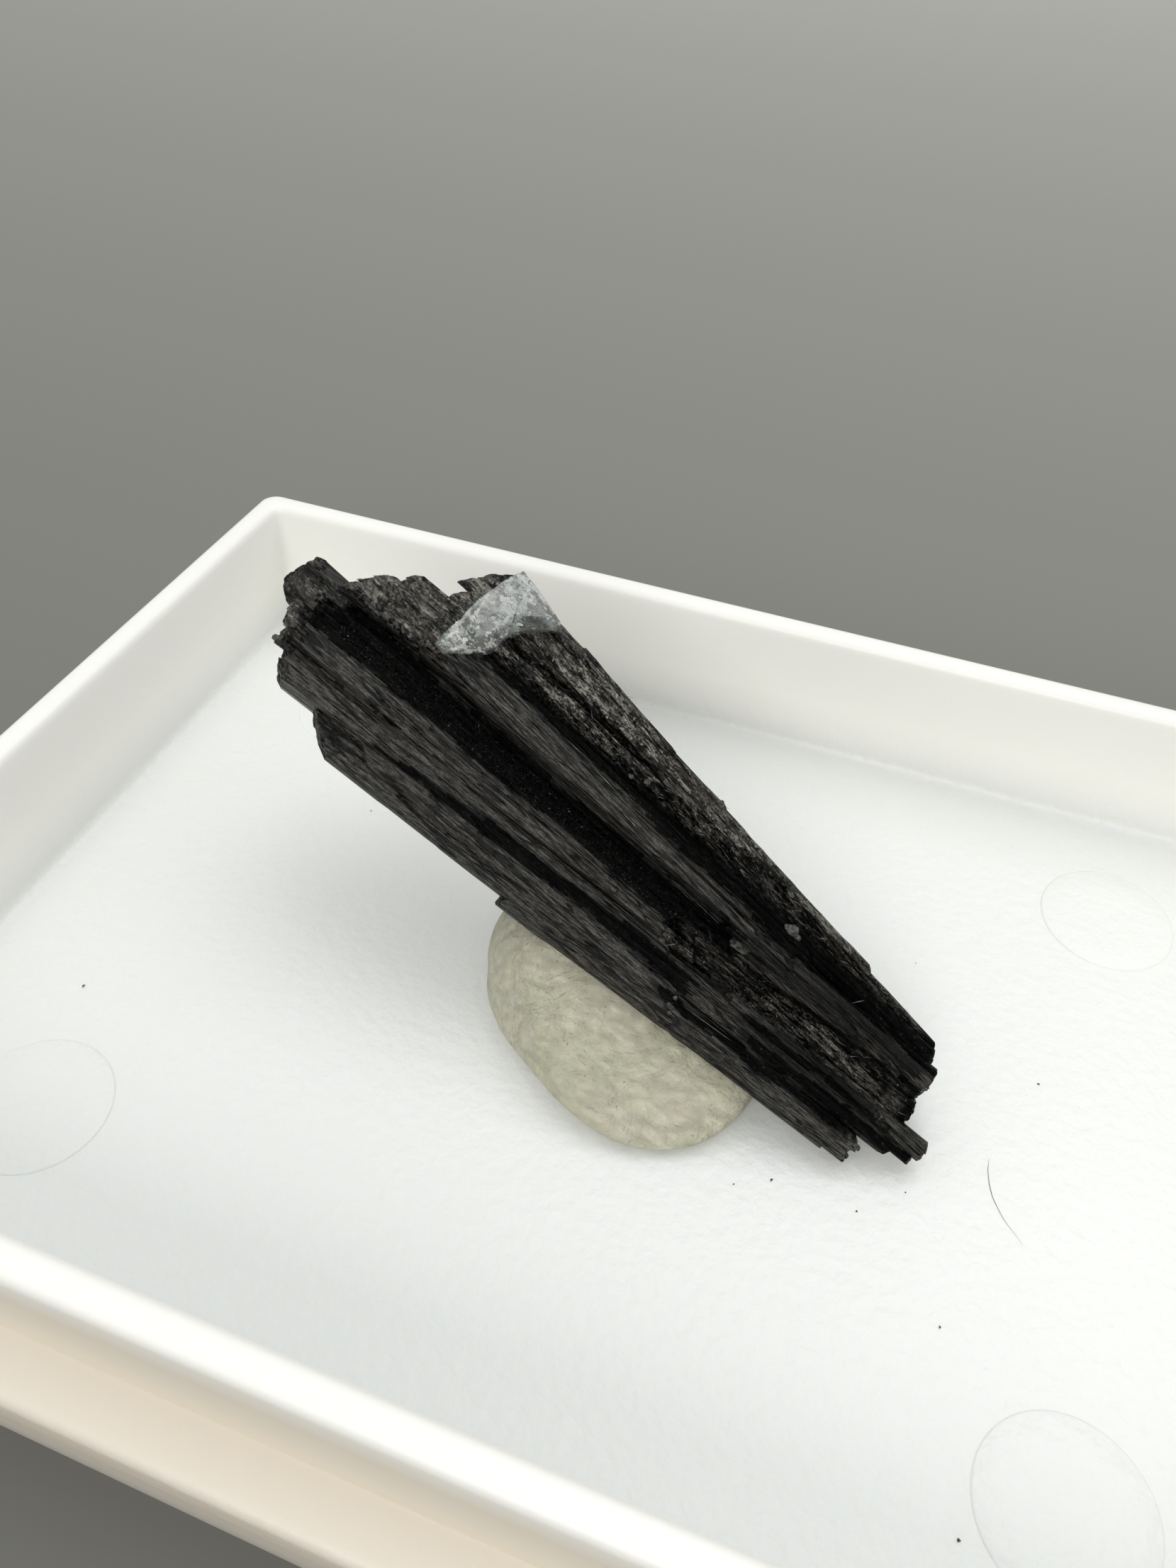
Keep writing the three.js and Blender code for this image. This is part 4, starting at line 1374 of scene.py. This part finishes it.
def lobe_skin(outline, bottom, top, lean, number):
    """A crystal lobe. In each direction its reach is the nearest of its flat
    faces, distance / (face direction . direction), and small shallow scallops
    of noise are taken off."""
    middle, faces, far = lobe_faces(outline, bottom, top, lean)
    out = ball(LOBE_ROWS, LOBE_SIDES)
    facing = np.maximum(out @ faces.T, 1e-3)
    reach = (far / facing).min(axis=1)
    points = out * reach[:, None]
    scallops = np.abs(soft_noise(points, 0.55, 40 + number)) * 0.7
    scallops += 0.3 * np.abs(soft_noise(points, 0.2, 60 + number))
    points = points * (1 - SCALLOP_DEPTH * scallops / reach)[:, None]
    return skin("lobe", to_tray(points + middle), closed_rings(LOBE_ROWS, LOBE_SIDES))


def mark_edges(mesh):
    """Keeps how near each point is to an edge between two flat faces: there the
    two nearest faces of its lobe are about as far from it. The material paints
    these edges milky white, as a painted highlight."""
    points = to_spray(mesh_points(mesh))
    nearest = np.full(len(points), 9.0)
    for outline, bottom, top, lean in AQUAMARINE_LOBES:
        middle, faces, far = lobe_faces(outline, bottom, top, lean)
        apart = np.sort(far - (points - middle) @ faces.T, axis=1)
        on_lobe = np.abs(apart[:, 0]) < 0.12
        nearest = np.where(on_lobe, np.minimum(nearest, apart[:, 1]), nearest)
    point_values(mesh, "edge", eased(1 - nearest / EDGE_REACH))


def clear_aquamarine(settings):
    """Clear pale blue beryl: plain transmission, its IOR and absorption."""
    finish = Finish("clear_aquamarine", Roughness=0.015, IOR=1.58, Transmission_Weight=0.86)
    milk = finish.noise(finish.place, 900, 5.0, 0.66, 0.5)
    veil = finish.noise(finish.place, 3000, 3.0, 0.7, 1.2)
    milk = finish.maths("ADD", milk, finish.maths("MULTIPLY", veil, 0.45))
    # Near the edges the crystal is painted milky white: a painted highlight along them.
    milk = finish.maths("MAXIMUM", finish.ramp(milk, 0.62, 0.78), finish.value("edge"))
    crack = finish.noise(finish.place, 1300, 4.0, 0.6, 1.5)
    crack = finish.maths("ABSOLUTE", finish.maths("SUBTRACT", crack, 0.5))
    milk = finish.maths("MAXIMUM", milk, finish.ramp(crack, 0.006, 0.02, 1.0, 0.0))
    finish.link(finish.colours(milk, CLEAR_TONE, MILKY_TONE), "Base Color")
    chips = finish.facets(finish.place, (1500, 3600, 2300), 1.0, (0.36, 0.36, 0.36), 0.9)
    flaws = finish.noise(finish.place, 5200, 3.0, 0.6)
    normal = finish.bump(chips, 0.8, 1.0)
    finish.link(finish.bump(flaws, 0.8, 0.000035, normal), "Normal")
    volume = finish.add(
        "ShaderNodeVolumeAbsorption", {}, ("Color", (*settings.tint, 1.0)),
        ("Density", settings.depth),
    )
    output = finish.tree.nodes["Material Output"]
    finish.tree.links.new(volume.outputs["Volume"], output.inputs["Volume"])
    return finish.material


def veils(count, mesh):
    """Small thin crumbs inside the lobes, in clouds with clear windows between.
    Each is kept where soft noise is high and it lies well below every face of
    its lobe. Others line the edges, just under the skin: white crumbs that are
    painted glints along them."""
    random = np.random.default_rng(VEIL_SEED)
    kept = []
    for outline, bottom, top, lean in AQUAMARINE_LOBES:
        middle, faces, far = lobe_faces(outline, bottom, top, lean)
        spread = random.uniform(-1, 1, (count, 3)) * (1.6, 1.8, 0.95)
        depth = (far - spread @ faces.T).min(axis=1)
        cloudy = soft_noise(middle + spread, VEIL_CLOUD, 65) > -0.12
        kept.append((middle + spread)[(depth > VEIL_DEPTH) & cloudy])
    places = np.concatenate(kept)
    sizes = 0.03 + 0.18 * random.random((len(places), 1)) ** 2
    sizes = sizes * (1.0, 0.7, 0.12)
    on_edge = np.empty(len(mesh.vertices), np.float32)
    mesh.attributes["edge"].data.foreach_get("value", on_edge)
    out = np.empty(len(mesh.vertices) * 3, np.float32)
    mesh.vertices.foreach_get("normal", out)
    edge = random.permutation(np.flatnonzero(on_edge > 0.75))[:EDGE_GLINTS]
    beneath = mesh_points(mesh)[edge] - GLINT_DEPTH * out.reshape(-1, 3)[edge]
    glints = 0.03 + 0.045 * random.random((len(edge), 1))
    places = np.concatenate([places, to_spray(beneath)])
    sizes = np.concatenate([sizes, glints * (1.3, 0.9, 0.7)])
    points, corners = grain_shapes(places, sizes, random)
    lean = random.uniform(-1.2, 1.2, (len(places), 2)).repeat(6, axis=0)
    beside = points - places.repeat(6, axis=0)
    points[:, 2] += np.sum(beside[:, :2] * lean, axis=1)
    return skin("veils", to_tray(points), [corners])


def milky_veil_and_glints():
    """Milky white flaws inside the crystal, and the white crumbs along its edges, which are
    painted glints.
    """
    return two_tone("milky_veil_and_glints", 0.6, 1.5, (2400, 2.0), (0.4, 0.6),
                    (0.8, 0.86, 0.84), (1.0, 1.0, 0.98))[0].material


class SPECIMEN_OT_aquamarine(bpy.types.Operator):
    """Grows the clear broken crystal across the upper prisms"""

    bl_idname = "specimen.aquamarine"
    bl_label = "Grow the Aquamarine"

    def execute(self, context):
        settings = context.scene.specimen_aquamarine
        lobes = [lobe_skin(*lobe, n) for n, lobe in enumerate(AQUAMARINE_LOBES)]
        mesh = united("aquamarine", lobes)
        smooth_but_for_edges(mesh, EDGE_ANGLES["crystal"])
        mark_edges(mesh)
        shown("aquamarine_chip", mesh, clear_aquamarine(settings), "aquamarine",
              "aquamarine")
        inside = veils(settings.veils, mesh)
        shown("aquamarine_veils_and_glints", inside.data, milky_veil_and_glints(), "aquamarine")
        return {"FINISHED"}


# --------------------------------------------------------------------- the tack

TACK_PLACE = np.array([1.0, -0.05, FLOOR])
TACK_SIDES, FLARE_ROWS, DOME_ROWS = 260, 13, 110
TACK_FLARE = 0.9
TACK_LOBES = 0.08
TACK_SHOULDER = 0.09
TACK_SHOULDER_TURN = 2.75
TACK_FULLNESS = 0.75
TACK_FOOT = 0.93
CORE_SLOPE = 14.0
PRESSED_LEVEL = -0.45  # in the spray's frame: nothing of the lump rises above it
PRESSED_ROUND = 0.14
SHADE_BAND = 1.5  # how far in front of the spray the lump is painted darker: painted shade where the spray overhangs it
PINKISH, GREYISH = (0.61, 0.565, 0.48), (0.36, 0.36, 0.29)
SHADE_SMEAR, SPECKLED = (0.2, 0.19, 0.15), (0.16, 0.15, 0.12)


def core_level(along, across):
    """The lowest middle level of the rods over a place, which rises steeply
    from a line inside each rod's edge. Putty cut off there ends in the rods."""
    lowest = np.full(along.shape, 99.0)
    for rod in SHOWN_RODS + HIDDEN_SIDE_RODS:
        low, high, depth = rod[:3]
        share = np.clip((along - low[0]) / (high[0] - low[0]), 0, 1)
        beyond = np.abs(along - between(low[0], high[0], share))
        half = between(low[3], high[3], share)
        apart = np.abs(across - between(low[1], high[1], share))
        rise = CORE_SLOPE * (np.maximum(apart - 0.5 * half, 0) + beyond)
        level = between(low[2], high[2], share) - half * depth
        lowest = np.minimum(lowest, level + rise)
    return lowest


def tack_skin(settings):
    """The lump. From its foot its side swells to the flare, then follows
    radius . cos^fullness and height . sin, with three lobes in plan and kneaded
    folds. Under the spray it ends inside the prisms, which are cut from it."""
    turn = 2 * np.pi * np.arange(TACK_SIDES) / TACK_SIDES
    low = np.linspace(0, 1, FLARE_ROWS)[:, None]
    high = np.linspace(0, 1, DOME_ROWS)[1:-1, None] * np.pi / 2
    flare = between(TACK_FOOT, 1, np.sin(low * np.pi / 2))
    reach = np.concatenate([flare, np.cos(high) ** TACK_FULLNESS]) * settings.radius
    dome = between(TACK_FLARE, settings.height, np.sin(high))
    rise = np.concatenate([TACK_FLARE * low, dome])
    swell = 1 - TACK_LOBES * np.cos(3 * turn)
    swell = swell + TACK_SHOULDER * eased(1 - np.abs(turn - TACK_SHOULDER_TURN) / 0.6)
    x, y = reach * swell * np.cos(turn), reach * swell * np.sin(turn)
    rings = np.stack([x, y, rise + 0 * turn], -1)
    points = np.concatenate([rings.reshape(-1, 3), [[0, 0, 0]], [[0, 0, settings.height]]])
    out = points / (np.linalg.norm(points, axis=1)[:, None] + 1e-6)
    lift = eased(points[:, 2] / 0.8)
    dents = 0.16 * soft_noise(points, 2.9, 13) + 0.06 * soft_noise(points, 1.3, 14)
    dents = dents + settings.wrinkles * soft_noise(points, (1.1, 0.5, 0.5), 12)
    points = points + out * (dents * lift)[:, None] + TACK_PLACE
    spray = to_spray(points)
    blend = PRESSED_ROUND
    spray[:, 2] = -blend * np.logaddexp(-spray[:, 2] / blend, -PRESSED_LEVEL / blend)
    spray[:, 2] = np.minimum(spray[:, 2], core_level(spray[:, 0], spray[:, 1]))
    points = to_tray(spray)
    points[:, 2] = np.maximum(points[:, 2], FLOOR)
    return skin("tack", points, closed_rings(len(rings), TACK_SIDES))


def putty(settings):
    """Off-white putty: faint pinkish patches, a few dark specks and fine
    creases. Next to the spray it is painted darker in smudges: painted shade
    where the spray overhangs it."""
    finish = Finish("putty", Roughness=0.55, IOR=1.46)
    patches = finish.ramp(finish.noise(finish.place, 480, 5.0, 0.65), 0.45, 0.7, 0.0, 0.7)
    body = finish.colours(patches, settings.putty, PINKISH)
    grey = finish.ramp(finish.noise(finish.place, 900, 6.0, 0.7), 0.42, 0.66, 0.0, 0.3)
    body = finish.colours(grey, body, GREYISH)
    # Painted shade: darker smudges where the spray overhangs the lump.
    shade_smear = finish.ramp(finish.noise(finish.place, 700, 5.0, 0.7), 0.38, 0.68, 0.0, 0.6)
    shade_smear = finish.maths("MULTIPLY", shade_smear, finish.value("shade_under_spray"))
    body = finish.colours(shade_smear, body, SHADE_SMEAR)
    specks = finish.cells(finish.place, 5200).outputs["Distance"]
    rare = finish.ramp(finish.noise(finish.place, 1100, 1.0), 0.62, 0.66)
    dark = finish.maths("MULTIPLY", finish.ramp(specks, 0.08, 0.22, 0.7, 0.0), rare)
    finish.link(finish.colours(dark, body, SPECKLED), "Base Color")
    creases = finish.noise(finish.stretched(finish.place, (1, 1.7, 1.3)), 1500, 6.0, 0.72, 0.9)
    folds = finish.noise(finish.place, 420, 4.0, 0.62, 1.0)
    normal = finish.bump(creases, 0.9, 0.00024)
    finish.link(finish.bump(folds, 0.8, 0.0005, normal), "Normal")
    return finish.material


class SPECIMEN_OT_tack(bpy.types.Operator):
    """Presses the lump of mineral tack under the spray"""

    bl_idname = "specimen.tack"
    bl_label = "Press the Tack"

    def execute(self, context):
        settings = context.scene.specimen_tack
        spray = bpy.data.objects.new("cutter", bpy.data.objects["schorl_spray"].data.copy())
        lump = united("tack", [tack_skin(settings), spray], True, "DIFFERENCE")
        smooth_but_for_edges(lump, EDGE_ANGLES["tack"])
        across = to_spray(mesh_points(lump))[:, 1]
        # Keeps how near each point is to the spray, for the painted shade under it.
        point_values(lump, "shade_under_spray", eased(1 + across / SHADE_BAND))
        shown("mineral_tack_lump", lump, putty(settings), "tack", "mineral_tack")
        return {"FINISHED"}


# ---------------------------------------------------------------------- the dust

# Each speck is [x, y, half size] on the tray's inner floor, and the hair is a
# line of places along it.
FLOOR_SPECKS = [
    [-18.0, -6.35, 0.075], [-12.7, 5.3, 0.05], [9.8, 5.9, 0.04], [14.6, 2.25, 0.05],
    [12.6, -7.25, 0.05], [13.85, -12.55, 0.06], [5.75, -5.15, 0.055], [6.85, -4.55, 0.06],
    [9.6, -4.6, 0.04], [10.95, -3.4, 0.035], [16.4, 11.35, 0.05],
]
HAIR_PATH = [
    [13.33, -1.23], [13.33, -1.63], [13.43, -2.12], [13.59, -2.57], [13.99, -3.17],
    [14.66, -3.81],
]
HAIR_RINGS = 60
HAIR_SMOOTHING = 6
HAIR_RADIUS = 0.0095
HAIR_LIFT = 0.02
DUST_SEED = 5


def floor_dust():
    """Dark brown dust."""
    return two_tone("floor_dust", 0.7, 1.5, (1200, 1.0), (0.4, 0.6),
                    (0.03, 0.022, 0.015), (0.09, 0.07, 0.05))[0].material


def speck_skin():
    """One crumb at each speck's place, half sunk in the floor."""
    random = np.random.default_rng(DUST_SEED)
    specks = np.array(FLOOR_SPECKS)
    sizes = specks[:, 2:] * random.uniform(0.7, 1.3, (len(specks), 3))
    places = np.column_stack([specks[:, :2], FLOOR + 0.5 * sizes[:, 2]])
    points, faces = grain_shapes(places, sizes, random)
    return skin("dust", points, [faces])


def hair_skin():
    """A thin tube along the smoothed path. Its ring at a place on the path is
    place + radius . (cos turn . sideways + sin turn . up), and its radius is a
    sine along it, so both ends are thin."""
    path = np.array(HAIR_PATH)
    share = np.linspace(0, len(path) - 1, HAIR_RINGS)
    knots = np.arange(len(path))
    line = np.stack([np.interp(share, knots, path[:, k]) for k in (0, 1)], -1)
    for _ in range(HAIR_SMOOTHING):
        line[1:-1] = (line[:-2] + 2 * line[1:-1] + line[2:]) / 4
    radius = HAIR_RADIUS * np.sin(np.linspace(0.25, np.pi - 0.12, HAIR_RINGS))
    turn = np.linspace(0, 2 * np.pi, 6, endpoint=False)
    heading = unit(np.gradient(line, axis=0))
    sideways = np.stack([-heading[:, 1], heading[:, 0]], -1)
    return tube_skin("hair", np.concatenate([
        line[:, None] + sideways[:, None] * (radius[:, None] * np.cos(turn))[..., None],
        (FLOOR + HAIR_LIFT + radius[:, None] * np.sin(turn))[..., None],
    ], -1))


class SPECIMEN_OT_dust(bpy.types.Operator):
    """Drops a few dark specks and one short hair on the tray's floor"""

    bl_idname = "specimen.dust"
    bl_label = "Drop Dust and a Hair"

    def execute(self, context):
        shown("floor_specks", speck_skin().data, floor_dust(), "schorl")
        shown("floor_hair", hair_skin().data, floor_dust(), "schorl")
        return {"FINISHED"}


# --------------------------------------------------------------------- the stage

CAMERA_PLACE = (6.607, -24.06, 38.516)
CAMERA_TURNS = (18.58, 45.87, 2.64)  # about Z, then about X, then about its own axis
SENSOR_WIDTH = 36.0
NEAREST_SEEN = 2.0
FLOOR_NEAR = -30  # the floor is painted paler from here to the far line: painted shade in front, painted light behind
FLOOR_FAR = 330
FLOOR_NEAR_SHARE = 0.235
FLOOR_REACH = 1600
AIR_BRIGHTEST = (-0.2, 0.25, 0.95)  # the direction that most of the light comes from
AIR_COLOUR = (0.975, 0.99, 0.985)
AIR_FADE = (-0.1, 0.9)  # cosines between which the light rises to its full strength
AIR_DIMMEST = 0.05
KEY_PLACE, KEY_SIZE, KEY_COLOUR = (100, 150, 420), 340, (1.0, 1.0, 0.985)
FILL_PLACE, FILL_SIZE, FILL_COLOUR = (30, -300, 250), 250, (1.0, 0.98, 0.94)


def soft_lamp(name, place, size, power, tint):
    """A round lamp that is turned to the tray."""
    lamp = bpy.data.lights.new(name, "AREA")
    lamp.shape = "DISK"
    lamp.size = size * MM
    lamp.energy = power
    lamp.color = tint
    holder = bpy.data.objects.new(name, lamp)
    bpy.context.scene.collection.objects.link(holder)
    place = Vector(place) * MM
    turn = (-place).to_track_quat("-Z", "Y").to_matrix().to_4x4()
    holder.matrix_world = Matrix.Translation(place) @ turn


def set_air(scene, strength):
    """Soft light from all round: bright overhead and behind, dim in front."""
    world = scene.world or bpy.data.worlds.new("air")
    scene.world = world
    world.use_nodes = True
    tree = world.node_tree
    air = tree.nodes["Background"]
    air.inputs["Color"].default_value = (*AIR_COLOUR, 1.0)
    place = tree.nodes.new("ShaderNodeTexCoord")
    facing = tree.nodes.new("ShaderNodeVectorMath")
    facing.operation = "DOT_PRODUCT"
    facing.inputs[1].default_value = AIR_BRIGHTEST
    tree.links.new(place.outputs["Generated"], facing.inputs[0])
    fade = tree.nodes.new("ShaderNodeMapRange")
    fade.interpolation_type = "SMOOTHSTEP"
    fade.inputs["From Min"].default_value, fade.inputs["From Max"].default_value = AIR_FADE
    fade.inputs["To Min"].default_value = AIR_DIMMEST * strength
    fade.inputs["To Max"].default_value = strength
    tree.links.new(facing.outputs["Value"], fade.inputs["Value"])
    tree.links.new(fade.outputs["Result"], air.inputs["Strength"])


def set_camera(scene, focal_length):
    """The camera at its place, turned about Z, then about X, then about its own
    axis."""
    lens = bpy.data.cameras.new("specimen_camera")
    lens.lens = focal_length
    lens.sensor_width = SENSOR_WIDTH
    lens.clip_start = NEAREST_SEEN * MM
    camera = bpy.data.objects.new("specimen_camera", lens)
    scene.collection.objects.link(camera)
    about_z, about_x, roll = (math.radians(a) for a in CAMERA_TURNS)
    turn = (
        Matrix.Rotation(about_z, 4, "Z") @ Matrix.Rotation(about_x, 4, "X")
        @ Matrix.Rotation(roll, 4, "Z")
    )
    camera.matrix_world = Matrix.Translation(Vector(CAMERA_PLACE) * MM) @ turn
    return camera


def plain_floor(scene, tint):
    """One flat square, painted darker in front and paler behind: painted shade
    in front and painted light on the far floor.
    """
    corners = np.array([[-1, -1, 0], [1, -1, 0], [1, 1, 0], [-1, 1, 0]]) * FLOOR_REACH * MM
    mesh = bpy.data.meshes.new("floor")
    mesh.from_pydata(corners.tolist(), [], [[0, 1, 2, 3]])
    floor = bpy.data.objects.new("studio_floor", mesh)
    scene.collection.objects.link(floor)
    finish = Finish("studio_floor", Roughness=0.7)
    depth = finish.add("ShaderNodeSeparateXYZ", {}, (0, finish.place)).outputs["Y"]
    painted_far_light = finish.ramp(depth, FLOOR_NEAR * MM, FLOOR_FAR * MM)
    shaded_near = [FLOOR_NEAR_SHARE * c for c in tint]
    finish.link(finish.colours(painted_far_light, shaded_near, tint), "Base Color")
    mesh.materials.append(finish.material)
    return floor


class SPECIMEN_OT_stage(bpy.types.Operator):
    """Sets the camera, the plain floor, the soft lamps and the air's light"""

    bl_idname = "specimen.stage"
    bl_label = "Set the Stage"

    def execute(self, context):
        settings = context.scene.specimen_stage
        scene = context.scene
        scene.camera = set_camera(scene, settings.focal_length)
        plain_floor(scene, settings.floor)
        soft_lamp("key_lamp", KEY_PLACE, KEY_SIZE, settings.key_power, KEY_COLOUR)
        soft_lamp("fill_lamp", FILL_PLACE, FILL_SIZE, settings.fill_power, FILL_COLOUR)
        set_air(scene, settings.air_light)
        scene.view_settings.view_transform = "Standard"
        return {"FINISHED"}


# --------------------------------------------------------------------- the panel

SETTINGS = {
    "specimen_tray": TraySettings,
    "specimen_tack": TackSettings,
    "specimen_schorl": SchorlSettings,
    "specimen_aquamarine": AquamarineSettings,
    "specimen_stage": StageSettings,
}
OPERATORS = (
    SPECIMEN_OT_stage, SPECIMEN_OT_tray, SPECIMEN_OT_schorl, SPECIMEN_OT_needles,
    SPECIMEN_OT_aquamarine, SPECIMEN_OT_tack, SPECIMEN_OT_dust,
)


class SPECIMEN_PT_panel(bpy.types.Panel):
    """Lists the steps of making the specimen, with their sizes and colours"""

    bl_idname = "SPECIMEN_PT_panel"
    bl_label = "Schorl Specimen"
    bl_space_type = "VIEW_3D"
    bl_region_type = "UI"
    bl_category = "Specimen"

    def draw(self, context):
        for operator in OPERATORS:
            self.layout.operator(operator.bl_idname)
        for key, group in SETTINGS.items():
            box = self.layout.box()
            for name in group.__annotations__:
                box.prop(getattr(context.scene, key), name)


CLASSES = (*SETTINGS.values(), *OPERATORS, SPECIMEN_PT_panel)


def register():
    for kind in CLASSES:
        bpy.utils.register_class(kind)
    for key, group in SETTINGS.items():
        setattr(bpy.types.Scene, key, PointerProperty(type=group))


def unregister():
    for key in SETTINGS:
        delattr(bpy.types.Scene, key)
    for kind in reversed(CLASSES):
        bpy.utils.unregister_class(kind)


def main():
    """Makes every piece in order."""
    register()
    bpy.ops.specimen.stage()
    bpy.ops.specimen.tray()
    bpy.ops.specimen.schorl()
    bpy.ops.specimen.needles()
    bpy.ops.specimen.aquamarine()
    bpy.ops.specimen.tack()
    bpy.ops.specimen.dust()


if __name__ == "__main__":
    main()
